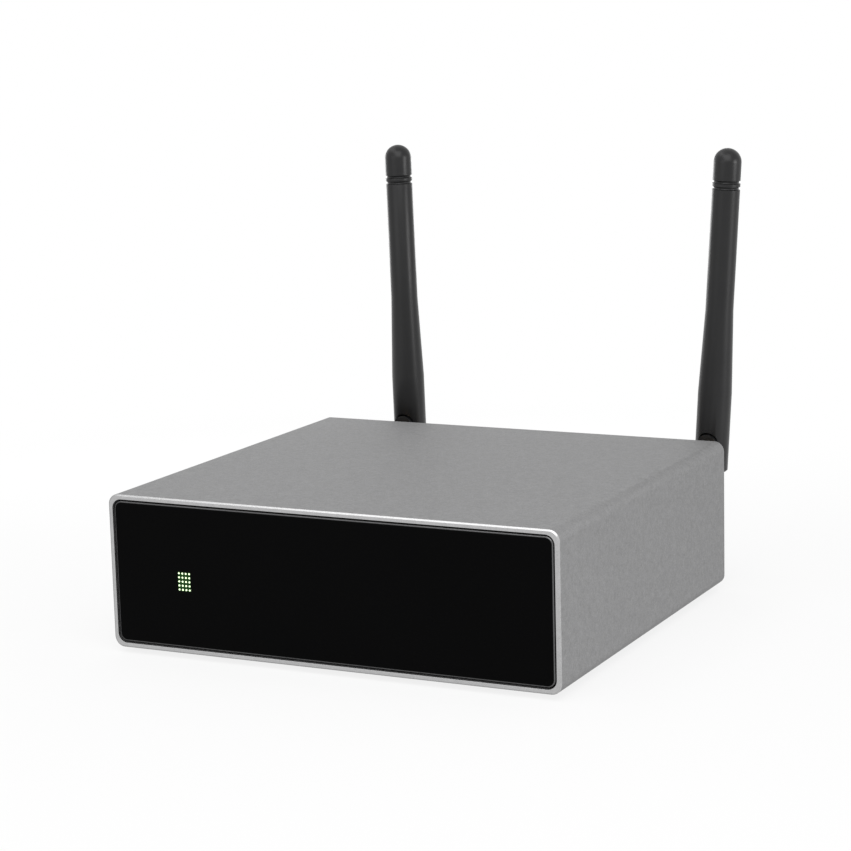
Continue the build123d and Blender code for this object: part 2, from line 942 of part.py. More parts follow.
def make_post_knob(x):
    """A fluted grip round the bush, open at its end for a plug."""
    start = knob_start()
    end = rear_face + post_collar_length + post_core_length + seat_gap + knob_end_wall
    points = (
        (bush_radius + running_gap, start),
        (knob_radius - knob_lead / 2, start),
        (knob_radius, start + knob_lead),
        (knob_radius, end - knob_end_break),
        (knob_radius - knob_end_break, end),
        (knob_mouth_radius, end),
        (knob_mouth_radius, end - knob_end_wall),
        (bush_radius + running_gap, end - knob_end_wall),
    )
    knob = turned(points, x, post_z)
    ring = knob_radius + knob_flute_offset
    for i in range(knob_flutes):
        angle = 2 * math.pi * i / knob_flutes
        flute_x = x + ring * math.cos(angle)
        flute_z = post_z + ring * math.sin(angle)
        knob -= rod(flute_x, flute_z, start + knob_flute_start, end, knob_flute_radius)
    return one(knob)


# Signal, network and power jacks


def rca_body_groups():
    """Each moulded jack body's x with the heights of the barrels that it carries."""
    return {x: [z for jack_x, z in zip(rca_xs, rca_zs) if jack_x == x] for x in rca_xs}


def make_rca_bodies():
    bodies = []
    for x, heights in rca_body_groups().items():
        z_range = (board_top, max(heights) + rca_body_margin)
        body = centred_block(x, (rear_inside - rca_body_depth, rear_inside), z_range, rca_body_width)
        for z in heights:
            body -= rod(x, z, rear_inside - rca_seat_depth, rear_inside, rca_seat_radius + screw_gap)
        bodies.append(one(body))
    return bodies


def make_rca_barrel(x, z):
    """The plated outer contact, seated in the moulded body."""
    end = rear_face + rca_barrel_length
    inner = rca_insert_radius + screw_gap
    shoulder = rear_face + rca_seat_proud
    points = (
        (inner, rear_inside - rca_seat_depth),
        (rca_seat_radius, rear_inside - rca_seat_depth),
        (rca_seat_radius, shoulder),
        (rca_barrel_radius, shoulder),
        (rca_barrel_radius, end - rca_end_break),
        (rca_barrel_radius - rca_end_break, end),
        (inner, end),
    )
    return turned(points, x, z)


def make_rca_insert(x, z):
    """The coloured insulator with the centre contact's bore."""
    end = rear_face + rca_barrel_length - rca_insert_drop
    points = (
        (0, rear_inside - rca_seat_depth),
        (rca_insert_radius, rear_inside - rca_seat_depth),
        (rca_insert_radius, end),
        (rca_pin_radius, end),
        (rca_pin_radius, rear_inside),
        (0, rear_inside),
    )
    return turned(points, x, z)


def make_trigger_jack():
    """The small control jack: a moulded body with a round nose through the panel."""
    width, depth, height = trigger_body
    body = centred_block(
        trigger_x, (rear_inside - depth, rear_inside), (board_top, board_top + height), width
    )
    z = trigger_z()
    nose_end = rear_face + nose_proud
    body += rod(trigger_x, z, rear_inside, nose_end, trigger_nose_radius)
    return one(body - rod(trigger_x, z, nose_end - trigger_bore_depth, nose_end, trigger_bore_radius))


def make_setup_switch():
    """The push switch behind the panel, with a well that its plunger slides in."""
    width, depth, height = switch_body
    end = rear_inside - switch_gap
    body = centred_block(button_x, (end - depth, end), (board_top, board_top + height), width)
    well_depth = plunger_engaged + button_travel + 2 * button_stop_gap
    well = rod(button_x, button_z(), end - well_depth, end, plunger_radius + running_gap)
    return one(body - well)


def make_setup_button():
    z = button_z()
    switch_face = rear_inside - switch_gap
    shoulder = switch_face + button_travel + button_stop_gap
    plunger = rod(button_x, z, switch_face - plunger_engaged, shoulder, plunger_radius)
    cap = rod(button_x, z, shoulder, rear_face + button_proud, button_radius)
    return one(plunger + chamfer(cap.faces().sort_by(Axis.Y)[-1].edges(), button_break))


def make_usb_shell():
    width, depth, height = usb_shell
    z = usb_z()
    start = rear_face - depth
    outer = Pos(usb_x, z) * RectangleRounded(width, height, usb_corner)
    inner = Pos(usb_x, z) * Rectangle(width - 2 * usb_wall, height - 2 * usb_wall)
    shell = along_y(outer, start, rear_face)
    shell -= along_y(inner, start + usb_back, rear_face)
    leg_width, leg_thickness = usb_leg
    y_range = about(start + usb_back / 2, leg_thickness)
    for side in (-1, 1):
        x = usb_x + side * (width / 2 - leg_width)
        shell += centred_block(x, y_range, (board_top, z - height / 2 + usb_wall), leg_width)
    return one(shell)


def make_usb_tongue():
    width, depth, thickness = usb_tongue
    bottom = usb_z() + usb_tongue_rise
    start = rear_face - usb_shell[1] + usb_back
    return centred_block(usb_x, (start, start + depth), (bottom, bottom + thickness), width)


def ethernet_cavity_z():
    """The bottom and top of the socket's main opening."""
    bottom = board_top + (ethernet_body[2] - ethernet_cavity[2]) / 2 + ethernet_latch[2] / 2
    return bottom, bottom + ethernet_cavity[2]


def make_ethernet_jack():
    """The shielded network socket, with its plug cavity and the latch's keyway below it."""
    width, depth, height = ethernet_body
    z_range = (board_top, board_top + height)
    body = centred_block(ethernet_x, (rear_face - depth, rear_face), z_range, width)
    low, high = ethernet_cavity_z()
    start = rear_face - ethernet_cavity[1]
    body -= centred_block(ethernet_x, (start, rear_face), (low, high), ethernet_cavity[0])
    latch_low = low - ethernet_latch[2]
    latch_start = rear_face - ethernet_latch[1]
    body -= centred_block(ethernet_x, (latch_start, rear_face), (latch_low, low), ethernet_latch[0])
    return one(body)


def make_ethernet_contacts():
    """The sprung contact wires, each along the cavity's roof and hooked back down from its knee."""
    _, high = ethernet_cavity_z()
    back = rear_face - ethernet_cavity[1]
    front = back + contact_length
    under = high - contact_wire
    tip = (back + contact_tip, high - contact_drop)
    heel = (tip[0] - contact_wire, tip[1] + contact_wire)
    wire = make_face(Polyline((back, under), (front, under), (front, high), (back, high), close=True))
    wire += make_face(Polyline((front - contact_knee, under), (front, under), tip, heel, close=True))
    contact = extrude(Plane.YZ * wire, amount=contact_wire / 2, both=True)
    middle = (contact_count - 1) / 2
    xs = [ethernet_x + (i - middle) * contact_pitch for i in range(contact_count)]
    return [one(Pos(x, 0, 0) * contact) for x in xs]


def make_dc_jack():
    """The power inlet: a moulded body with a round nose and a bore for the barrel plug."""
    width, depth, height = dc_body
    z_range = (board_top, board_top + height)
    body = centred_block(dc_x, (rear_inside - depth, rear_inside), z_range, width)
    z = dc_z()
    end = rear_face + nose_proud
    body += rod(dc_x, z, rear_inside, end, dc_ring_radius())
    return one(body - rod(dc_x, z, end - dc_bore_depth, end, dc_bore_radius))


def make_dc_pin():
    end = rear_face + nose_proud
    return rod(dc_x, dc_z(), end - dc_bore_depth, end - dc_pin_recess, dc_pin_radius)


# Antennas, each built upright over its jack and then leant about the jack's axis


def make_antenna_jack(x):
    """The bulkhead jack: flange inside the panel, threaded barrel and socket outside."""
    end = rear_face + jack_thread_length
    flange_start = rear_inside - jack_flange_thickness
    points = (
        (0, flange_start),
        (jack_flange_radius, flange_start),
        (jack_flange_radius, rear_inside),
        (jack_thread_radius, rear_inside),
        (jack_thread_radius, end - jack_end_break),
        (jack_thread_radius - jack_end_break, end),
        (jack_socket_radius, end),
        (jack_socket_radius, end - jack_socket_depth),
        (0, end - jack_socket_depth),
    )
    return turned(points, x, jack_z)


def make_jack_fixings(x):
    """The washer and nut that clamp a jack to the panel."""
    washer_end = rear_face + jack_washer_thickness
    hole = jack_thread_radius + screw_gap
    washer = rod(x, jack_z, rear_face, washer_end, jack_washer_radius)
    washer -= rod(x, jack_z, rear_face, washer_end, hole)
    nut_end = washer_end + jack_nut_thickness
    nut = hexagon_bar(x, jack_z, washer_end, nut_end, jack_nut_flats)
    nut -= rod(x, jack_z, washer_end, nut_end, hole)
    return [washer, nut]


def make_antenna_plug(x):
    """The antenna's coupling nut and the plug ferrule that runs through it into the knuckle."""
    start = rear_face + plug_nut_start
    nut = hexagon_bar(x, jack_z, start, plug_nut_end, plug_nut_flats)
    cone = (
        (0, start),
        (plug_nut_face, start),
        (plug_nut_face + plug_nut_cone, start + plug_nut_cone),
        (plug_nut_face + plug_nut_cone, plug_nut_end),
        (0, plug_nut_end),
    )
    nut &= turned(cone, x, jack_z)
    nut -= rod(x, jack_z, start, plug_nut_end - plug_nut_web, jack_thread_radius + running_gap)
    ferrule_start = rear_face + jack_thread_length - jack_socket_depth + plug_ferrule_gap
    ferrule_end = knuckle_collar_end + plug_ferrule_tail
    return one(nut + rod(x, jack_z, ferrule_start, ferrule_end, plug_ferrule_radius))


def make_knuckle(x):
    """The swivelling base: a collar round the plug, a stem and the hinge barrel across it."""
    collar = rod(x, jack_z, knuckle_start, knuckle_collar_end, knuckle_collar_radius)
    collar = chamfer(collar.edges().filter_by(GeomType.CIRCLE), knuckle_collar_break)
    stem = rod(x, jack_z, knuckle_collar_end, hinge_y, knuckle_width / 2)
    across = Pos(x, hinge_y, jack_z) * Rot(0, 90, 0)
    barrel = across * Cylinder(knuckle_barrel_radius, knuckle_width)
    knuckle = collar + stem + barrel + knuckle_tongue(x, knuckle_collar_end)
    bore_end = knuckle_collar_end + plug_ferrule_tail + knuckle_gap
    knuckle -= rod(x, jack_z, knuckle_start, bore_end, plug_ferrule_radius + running_gap)
    knuckle -= across * Cylinder(hinge_pin_radius + running_gap, 2 * knuckle_width)
    return one(knuckle)


def knuckle_tongue(x, start):
    """The arched front of the knuckle, which fills the blade's slot while the blade stands."""
    rise = blade_arch_rise - tongue_drop
    half = knuckle_width / 2
    arch = Pos(x, jack_z + (rise - half) / 2) * Rectangle(2 * half, rise - half)
    arch += Pos(x, jack_z + rise - half) * Circle(half)
    tongue = along_y(arch, start, hinge_y - blade_slot_gap)
    sweep_limit = Pos(x, hinge_y, jack_z) * Rot(0, 90, 0) * Cylinder(tongue_reach(), knuckle_width)
    return tongue & sweep_limit


def tongue_reach():
    """The tongue's farthest point from the hinge, at its top."""
    return blade_arch_rise - tongue_drop


def blade_radius_at(depth):
    """The blade's outer radius at a depth below its tip, outside the dome."""
    share = (depth - blade_flare_start) / (blade_flare_end - blade_flare_start)
    share = min(1.0, max(0.0, share))
    return blade_tip_radius + share * (blade_foot_radius - blade_tip_radius)


def blade_outline(depth_from, depth_to):
    """Half of the blade's section between two depths, from its axis outwards, as (radius, height)."""
    top = blade_top_rise
    depths = [d for d in (blade_flare_start, blade_flare_end) if depth_from < d < depth_to]
    depths = [depth_from, *depths, depth_to]
    edge = [(blade_radius_at(d), top - d) for d in depths]
    return make_face(Polyline((0, top - depth_from), *edge, (0, top - depth_to), close=True))


def blade_grooves():
    rings = [Pos(blade_tip_radius, blade_top_rise - groove_first - i * groove_step) for i in range(2)]
    return Sketch() + [ring * Circle(groove_radius) for ring in rings]


def upright(profile, x):
    """A profile of radius and height turned about a blade's own axis."""
    return Pos(x, hinge_y, jack_z) * revolve(Plane.XZ * profile, Axis.Z)


def make_blade(x):
    """The long shell: a flared round body, arched open towards the knuckle, rounded at its foot."""
    profile = blade_outline(groove_first, blade_length) - blade_grooves()
    bore_top = blade_top_rise - groove_first
    bore = Pos(blade_bore_radius / 2, (bore_top + blade_bore_floor) / 2) * Rectangle(
        blade_bore_radius, bore_top - blade_bore_floor
    )
    body = upright(profile - bore, x) & blade_side_outline(x)
    body -= knuckle_clearance(x)
    pin_hole = Cylinder(hinge_pin_radius + screw_gap, hinge_pin_length)
    return one(body - Pos(x, hinge_y, jack_z) * Rot(0, 90, 0) * pin_hole)


def blade_side_outline(x):
    """The blade seen from its side: straight above the hinge and rounded about it below."""
    reach = blade_foot_radius
    side = Pos(0, blade_length / 2) * Rectangle(2 * reach, blade_length) + Circle(reach)
    body = extrude(Plane.YZ * side, amount=reach, both=True)
    ends = body.edges().filter_by(GeomType.CIRCLE)
    return Pos(x, hinge_y, jack_z) * chamfer(ends, blade_end_break)


def knuckle_clearance(x):
    """The space that the knuckle needs in the blade as it folds, arched towards the panel."""
    half = arch_radius
    arch = Pos(0, (blade_arch_rise - half) / 2) * Rectangle(2 * half, blade_arch_rise - half)
    arch += Pos(0, blade_arch_rise - half) * Circle(half)
    arch_depth = blade_foot_radius + blade_end_break
    front = extrude(Plane.XZ * arch, amount=arch_depth)
    below = block((-half, half), (-arch_depth, half), (-2 * blade_foot_radius, 0))
    barrel = Rot(0, 90, 0) * Cylinder(knuckle_barrel_radius + blade_slot_gap, 2 * half)
    return Pos(x, hinge_y, jack_z) * (front + below + barrel)


def make_blade_cap(x):
    """The domed end cap, with the spigot that plugs the blade's bore."""
    top = blade_top_rise
    joint = top - groove_first
    dome_base = top - blade_tip_radius
    spigot = blade_bore_radius - screw_gap
    edge = Polyline(
        (0, top - 2 * blade_tip_radius),
        (0, joint - cap_spigot_length),
        (spigot, joint - cap_spigot_length),
        (spigot, joint),
        (blade_tip_radius, joint),
        (blade_tip_radius, dome_base),
    )
    dome = CenterArc((0, dome_base), blade_tip_radius, 0, 90)
    close = Line((0, top), (0, top - 2 * blade_tip_radius))
    profile = make_face(edge + dome + close)
    return one(upright(profile - blade_grooves(), x))


def make_element(x):
    """The radiator in the blade: a sleeve round the lead and a thin wire above it."""
    floor = blade_bore_floor
    sleeve_end = floor + element_sleeve_length
    top = blade_top_rise - groove_first - cap_spigot_length - seat_gap
    points = (
        (0, floor),
        (element_sleeve_radius, floor),
        (element_sleeve_radius, sleeve_end),
        (element_wire_radius, sleeve_end),
        (element_wire_radius, top),
        (0, top),
    )
    return upright(make_face(Polyline(*points, close=True)), x)


def make_hinge_pin(x):
    return Pos(x, hinge_y, jack_z) * Rot(0, 90, 0) * Cylinder(hinge_pin_radius, hinge_pin_length)


def leant(shape, x, lean):
    """A shape turned about the jack's axis, leaning to the right by lean degrees."""
    return Pos(x, 0, jack_z) * Rot(0, lean, 0) * Pos(-x, 0, -jack_z) * shape


def antenna_nodes(side, x, lean):
    """Every piece of one antenna by node name."""
    return {
        f"antenna_{side}_plug": make_antenna_plug(x),
        f"antenna_{side}_knuckle": leant(make_knuckle(x), x, lean),
        f"antenna_{side}_blade": leant(make_blade(x), x, lean),
        f"antenna_{side}_cap": leant(make_blade_cap(x), x, lean),
        f"antenna_{side}_element": leant(make_element(x), x, lean),
        f"antenna_{side}_hinge_pin": leant(make_hinge_pin(x), x, lean),
    }


def all_nodes():
    """Every node's name with its solid, or its list of solids."""
    nodes = {
        "case_sleeve": make_sleeve(),
        "front_panel": make_front_panel(),
        "panel_tape": make_panel_tape(),
        "front_carrier": make_front_carrier(),
        "case_screws": make_case_screws(carrier_front, 1) + make_case_screws(rear_face, -1),
        "light_guide": make_light_guide(),
        "display_board": make_display_board(),
        "display_leds": make_display_leds(),
        "display_screws": make_display_screws(),
        "ribbon_sockets": make_ribbon_sockets(),
        "ribbon_cable": make_ribbon_cable(),
        "main_board": make_main_board(),
        "amplifier_chip": make_amplifier_chip(),
        "heat_sink": make_heat_sink(),
        "heat_sink_screws": make_heat_sink_screws(),
        "output_inductors": make_inductors(),
        "film_capacitors": make_film_capacitors(),
        "bulk_capacitors": make_bulk_capacitors(),
        "streaming_module": [make_streaming_module(), *make_coax_sockets()],
        "module_headers": make_module_headers(),
        "module_shield": make_module_shield(),
        "antenna_leads": make_antenna_leads(),
        "rear_panel": make_rear_panel(),
        "speaker_collars": [make_post_collar(x) for x in post_xs],
        "speaker_posts": [make_post_core(x) for x in post_xs],
        "speaker_insulators": [make_post_insulator(x) for x in post_xs],
        "speaker_tabs": [make_post_tab(x) for x in post_xs],
        "speaker_nuts": [make_post_nut(x) for x in post_xs],
        "line_jack_bodies": make_rca_bodies(),
        "line_jack_barrels": [make_rca_barrel(x, z) for x, z in zip(rca_xs, rca_zs)],
        "line_jack_inserts": [make_rca_insert(x, z) for x, z in zip(rca_xs, rca_zs)],
        "trigger_jack": make_trigger_jack(),
        "setup_switch": make_setup_switch(),
        "setup_button": make_setup_button(),
        "usb_jack": [make_usb_shell(), make_usb_tongue()],
        "ethernet_jack": [make_ethernet_jack(), *make_ethernet_contacts()],
        "power_jack": [make_dc_jack(), make_dc_pin()],
        "antenna_jacks": [make_antenna_jack(x) for x in (jack_x_left, jack_x_right)],
        "antenna_jack_nuts": make_jack_fixings(jack_x_left) + make_jack_fixings(jack_x_right),
        "feet": [make_foot(x, y) for x, y in foot_places()],
    }
    for i, x in enumerate(post_xs, 1):
        nodes[f"speaker_knob_{i}"] = make_post_knob(x)
        nodes[f"speaker_bush_{i}"] = make_post_bush(x)
    nodes |= antenna_nodes("left", jack_x_left, antenna_lean_left)
    nodes |= antenna_nodes("right", jack_x_right, antenna_lean_right)
    return nodes


def main():
    os.makedirs("parts", exist_ok=True)
    to_origin = Pos(*[-v for v in row_origin])
    for name, made in all_nodes().items():
        shapes = made if isinstance(made, list) else [made]
        solids = [to_origin * solid for shape in shapes for solid in shape.solids()]
        export_step(Compound(children=solids), f"parts/{name}.step")


if __name__ == "__main__":
    main()
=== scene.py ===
import json
import math

import bmesh
import bpy
from bpy.props import FloatProperty, FloatVectorProperty, IntProperty, PointerProperty
from bpy.types import NodeSocket, Operator, Panel, PropertyGroup
from mathutils import Matrix, Vector


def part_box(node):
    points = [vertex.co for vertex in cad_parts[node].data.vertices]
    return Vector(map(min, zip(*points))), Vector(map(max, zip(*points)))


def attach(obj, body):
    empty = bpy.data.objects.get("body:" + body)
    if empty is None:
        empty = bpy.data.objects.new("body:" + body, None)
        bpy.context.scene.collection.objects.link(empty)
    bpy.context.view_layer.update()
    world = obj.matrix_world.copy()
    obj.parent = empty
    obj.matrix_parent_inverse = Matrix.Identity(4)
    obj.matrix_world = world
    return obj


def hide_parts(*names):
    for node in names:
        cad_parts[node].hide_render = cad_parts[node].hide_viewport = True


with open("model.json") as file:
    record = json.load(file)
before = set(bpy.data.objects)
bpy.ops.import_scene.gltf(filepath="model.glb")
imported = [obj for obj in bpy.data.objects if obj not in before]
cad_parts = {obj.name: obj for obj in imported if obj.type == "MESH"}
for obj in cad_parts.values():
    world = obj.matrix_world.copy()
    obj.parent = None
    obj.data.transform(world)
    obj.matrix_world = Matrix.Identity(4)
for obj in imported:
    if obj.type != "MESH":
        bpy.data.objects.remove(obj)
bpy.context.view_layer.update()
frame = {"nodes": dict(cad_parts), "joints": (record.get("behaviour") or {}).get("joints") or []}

bl_info = {
    "name": "Streaming Amplifier",
    "version": (1, 0, 0),
    "blender": (4, 5, 0),
    "location": "3D View > Sidebar > Amplifier",
    "description": "Models and finishes a small streaming amplifier with two folding antennas",
    "category": "Object",
}

MM = 0.001
SIDES = ("left", "right")
POSTS = (1, 2, 3, 4)
PLUS_POSTS = (1, 3)
SLEEVE_LOW, SLEEVE_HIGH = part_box("case_sleeve")
PANEL_LOW, PANEL_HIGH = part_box("front_panel")
REAR_LOW, REAR_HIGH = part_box("rear_panel")


# Sizes and colours


def length(description, default):
    """A size in metres, given in millimetres."""
    return FloatProperty(
        description=description, default=default * MM, min=0, subtype="DISTANCE", unit="LENGTH"
    )


def angle(description, degrees):
    return FloatProperty(
        description=description, default=math.radians(degrees), subtype="ANGLE", unit="ROTATION"
    )


def colour(description, default):
    return FloatVectorProperty(description=description, default=default, size=3, min=0, max=1, subtype="COLOR")


class CaseSizes(PropertyGroup):
    wall: length("Thickness of the extruded sleeve", 1.6)
    corner: length("Outside radius of the sleeve's long edges", 3.6)
    inner_corner: length("Inside radius of the sleeve's long edges", 3.2)
    rim_chamfer: length("Polished chamfer round the sleeve's front edge", 0.5)
    rim_inner_break: length("Small break on the rim's inner edge", 0.12)
    rear_break: length("Break round the sleeve's rear edge", 0.3)
    port: length("Radius of the boss round each case screw", 2.6)
    port_inset: length("Distance from the inside walls to a screw's middle", 2.8)
    port_bore: length("Radius of each screw port's bore", 1.3)
    port_slit: length("Width of the slit along each screw port", 1.0)
    carrier: length("Thickness of the plate behind the front panel", 2.0)
    rib_depth: length("How far the main board's ribs stand out", 2.0)
    rib: length("Thickness of the main board's ribs", 1.2)
    rib_gap: length("Clearance between the main board and its upper ribs", 0.15)
    foot_hole: length("Radius of the hole for each foot's stem", 2.05)
    panel_corner: length("Corner radius of the front panel", 2.75)
    panel_bevel: length("Polished bevel round the front panel", 0.7)
    foot_radius: length("Radius of each rubber foot", 6.0)
    foot_edge: length("Rounding of each foot's lower edge", 0.5)
    foot_draft: length("How much narrower a foot is at its lower end", 0.35)
    foot_dish: length("Depth of the dish under each foot", 0.25)
    foot_stem: length("Radius of each foot's stem", 2.0)
    foot_point: length("Tapered length at the stem's end", 0.8)


class LightGridSizes(PropertyGroup):
    columns: IntProperty(description="Light points across the grid", default=4, min=1)
    rows: IntProperty(description="Light points up the grid", default=5, min=1)
    pitch_x: length("Distance between columns", 1.3)
    pitch_z: length("Distance between rows", 1.37)
    pin_radius: length("Radius of each light pin", 0.31)
    hole_radius: length("Radius of each hole in the panel", 0.36)
    flange: length("Width of the flange round the guide's block", 1.2)


class KnobSizes(PropertyGroup):
    radius: length("Outside radius of a speaker knob", 5.5)
    mouth: length("Radius of the plug opening", 2.5)
    bore: length("Radius of the seat for the brass bush", 4.25)
    end_wall: length("Thickness of the wall round the mouth", 1.2)
    flutes: IntProperty(description="Grooves round the grip", default=12, min=3)
    flute_radius: length("Radius of each groove", 0.8)
    flute_offset: length("How far outside the knob each groove's axis lies", 0.3)
    flute_start: length("Plain length before the grooves", 2.0)
    foot_break: length("Break on the knob's edge next to the panel", 0.3)
    end_round: length("Rounding of the knob's outer end", 1.2)
    mouth_break: length("Break on the plug opening", 0.4)


class MarkSizes(PropertyGroup):
    sign: length("Type size of the plus and minus signs", 5)
    sign_rise: length("Height of a sign above its knob", 3.4)
    letter: length("Type size of the channel letters", 4)
    letter_drop: length("Depth of a letter below its knobs", 4.2)
    relief: length("Half the thickness of the ink", 0.01)


class AntennaSizes(PropertyGroup):
    length: length("Rod length from its tip to its lower end", 117)
    tip_radius: length("Rod radius at the tip", 5.0)
    foot_radius: length("Rod radius at the hinge", 6.1)
    flare_start: length("Distance from the tip to where the rod starts to widen", 58)
    flare_end: length("Distance from the tip to where it stops widening", 88)
    groove: length("Distance from the tip to the first ring groove", 11.9)
    groove_step: length("Distance between the ring grooves", 2.2)
    groove_radius: length("Radius of a ring groove's section", 0.55)
    bore: length("Radius of the hollow in the rod", 3.4)
    bore_floor: length("Height of the hollow's floor above the hinge", 20)
    spigot: length("How far the cap's spigot goes into the rod", 6)
    spigot_gap: length("Clearance round the cap's spigot", 0.05)
    slot: length("Half width of the slot for the knuckle", 3.8)
    slot_rise: length("Height of the slot's arch above the hinge", 8.7)
    end_break: length("Break on the ends of the rod's ears", 0.6)
    knuckle: length("Half width of the knuckle", 3.5)
    knuckle_rise: length("Height of the knuckle's arch above the hinge", 8.1)
    barrel: length("Radius of the knuckle's hinge barrel", 4.6)
    barrel_gap: length("Clearance between the barrel and the rod", 0.3)
    collar: length("Radius of the knuckle's collar", 4.9)
    collar_length: length("Length of the knuckle's collar", 1.6)
    ferrule: length("Radius of the hole for the plug's ferrule", 2.3)
    ferrule_depth: length("Depth of that hole", 2.2)
    pin: length("Radius of the hinge pin's hole", 1.05)


class FinishColours(PropertyGroup):
    aluminium: colour("Blasted and anodised sleeve", (0.305, 0.305, 0.307))
    # Partly a painted highlight: lighter than the blasted aluminium to stand in for the light from the front on
    # the rim
    rim_polish_and_highlight: colour("Cut edge round the sleeve's front", (0.45, 0.45, 0.452))
    panel: colour("Gloss black front", (0.0016, 0.0016, 0.0017))
    panel_edge: colour("Polished bevel round the front panel", (0.15, 0.15, 0.152))
    light: colour("Lit light points", (0.80, 1.0, 0.62))
    glow: colour("Faint light round the points", (0.012, 0.05, 0.010))
    black_plastic: colour("Moulded antennas and sockets", (0.010, 0.010, 0.0105))
    rear_panel: colour("Black anodised rear panel", (0.016, 0.016, 0.017))
    marking: colour("Printed marks on the rear panel", (0.62, 0.62, 0.60))
    gold: colour("Plated contacts", (0.83, 0.58, 0.25))
    nickel: colour("Plated shells and screws", (0.58, 0.57, 0.55))
    knob_red: colour("Positive speaker knobs", (0.42, 0.010, 0.012))
    knob_black: colour("Negative speaker knobs", (0.016, 0.016, 0.016))
    rubber: colour("Feet", (0.022, 0.022, 0.022))
    board: colour("Solder mask of the circuit boards", (0.008, 0.075, 0.030))


class StudioSettings(PropertyGroup):
    azimuth: angle("Camera's angle to the right of the front", 26.32)
    elevation: angle("Camera's angle above the horizon", 10.41)
    roll: angle("Camera's turn about its own axis", -1.49)
    lens: FloatProperty(description="Focal length on a 36 mm frame", default=104.97, unit="CAMERA")
    camera_place: FloatVectorProperty(
        description="Where the camera stands", default=(0.3700, -0.7592, 0.2218),
        size=3, subtype="XYZ", unit="LENGTH",
    )
    floor_size: FloatProperty(description="Width of the floor", default=60, unit="LENGTH")
    shade: FloatProperty(description="Share of the floor's own shade near the part", default=0.18, min=0, max=1)
    shade_start: length("Where the floor's shade begins to fade", 120)
    shade_end: length("Where the floor is plain white", 450)
    ambient: FloatProperty(description="Even light from all round", default=0.45, min=0)


def settings():
    return bpy.context.scene.amplifier


class AmplifierSettings(PropertyGroup):
    case: PointerProperty(type=CaseSizes)
    grid: PointerProperty(type=LightGridSizes)
    knob: PointerProperty(type=KnobSizes)
    mark: PointerProperty(type=MarkSizes)
    antenna: PointerProperty(type=AntennaSizes)
    finish: PointerProperty(type=FinishColours)
    studio: PointerProperty(type=StudioSettings)


# Modelling


def clear_selection():
    """Leaves edit mode and deselects everything."""
    if bpy.context.object and bpy.context.object.mode == "EDIT":
        bpy.ops.object.mode_set(mode="OBJECT")
    bpy.ops.object.select_all(action="DESELECT")


def pick(piece):
    """Selects one piece alone and makes it active."""
    clear_selection()
    piece.select_set(True)
    bpy.context.view_layer.objects.active = piece


def keep_as(name):
    """Names the active piece and puts its place, turn and scale into its mesh."""
    piece = bpy.context.object
    piece.name = name
    bpy.ops.object.transform_apply(location=True, rotation=True, scale=True)
    return piece


def edit(piece):
    pick(piece)
    bpy.ops.object.mode_set(mode="EDIT")


def finish_edit():
    bpy.ops.object.mode_set(mode="OBJECT")


def box_piece(name, corner, opposite):
    """A box between two opposite corners."""
    low, high = Vector(map(min, corner, opposite)), Vector(map(max, corner, opposite))
    clear_selection()
    bpy.ops.mesh.primitive_cube_add(size=1, location=(low + high) / 2, scale=high - low)
    return keep_as(name)


def rod_piece(name, start, end, radius, vertices):
    """A cylinder from one point to another."""
    start, end = Vector(start), Vector(end)
    clear_selection()
    turn = Vector((0, 0, 1)).rotation_difference(end - start).to_euler()
    bpy.ops.mesh.primitive_cylinder_add(
        vertices=vertices, radius=radius, depth=(end - start).length,
        location=(start + end) / 2, rotation=turn,
    )
    return keep_as(name)


def turned_piece(name, profile, centre, along, steps):
    """A round piece: (radius, distance along) points joined up and spun about an axis."""
    centre, along = Vector(centre), Vector(along)
    across = along.orthogonal().normalized()
    points = [centre + across * radius + along * distance for radius, distance in profile]
    clear_selection()
    bpy.ops.mesh.primitive_plane_add(size=MM, location=(0, 0, 0))
    piece = bpy.context.object
    piece.name = name
    bpy.ops.object.mode_set(mode="EDIT")
    bpy.ops.mesh.select_mode(type="VERT")
    bpy.ops.mesh.select_all(action="SELECT")
    bpy.ops.mesh.merge(type="CENTER")
    bpy.ops.transform.translate(value=points[0])
    for here, there in zip(points, points[1:]):
        bpy.ops.mesh.extrude_vertices_move(TRANSFORM_OT_translate={"value": there - here})
    bpy.ops.mesh.select_all(action="SELECT")
    bpy.ops.mesh.spin(steps=steps, angle=math.tau, center=centre, axis=along)
    bpy.ops.mesh.select_all(action="SELECT")
    bpy.ops.mesh.remove_doubles(threshold=0.001 * MM)
    bpy.ops.mesh.delete_loose()
    bpy.ops.mesh.select_all(action="SELECT")
    bpy.ops.mesh.normals_make_consistent(inside=False)
    finish_edit()
    return piece


def arc(centre, radius, first, last, steps):
    """Profile points on an arc, with angles in degrees from the first axis."""
    angles = (math.radians(first + (last - first) * i / steps) for i in range(steps + 1))
    return [(centre[0] + radius * math.cos(a), centre[1] + radius * math.sin(a)) for a in angles]


def select_where(piece, kind, test):
    """In edit mode, selects the edges or the faces that pass a test."""
    bpy.ops.mesh.select_all(action="DESELECT")
    bpy.ops.mesh.select_mode(type=kind)
    mesh = bmesh.from_edit_mesh(piece.data)
    for element in mesh.edges if kind == "EDGE" else mesh.faces:
        if test(element):
            element.select_set(True)
    bmesh.update_edit_mesh(piece.data)


def runs_along(axis, test=None):
    """A test for edges that run along one axis and whose middle passes another test."""

    def passes(a, b):
        d = b - a
        others = [abs(d[i]) for i in range(3) if i != axis]
        return max(others) < 0.001 * MM < abs(d[axis]) and (test is None or test((a + b) / 2))

    return passes


def lies_at(y):
    """A test for edges that lie at one depth."""
    return lambda a, b: max(abs(a.y - y), abs(b.y - y)) < 0.01 * MM


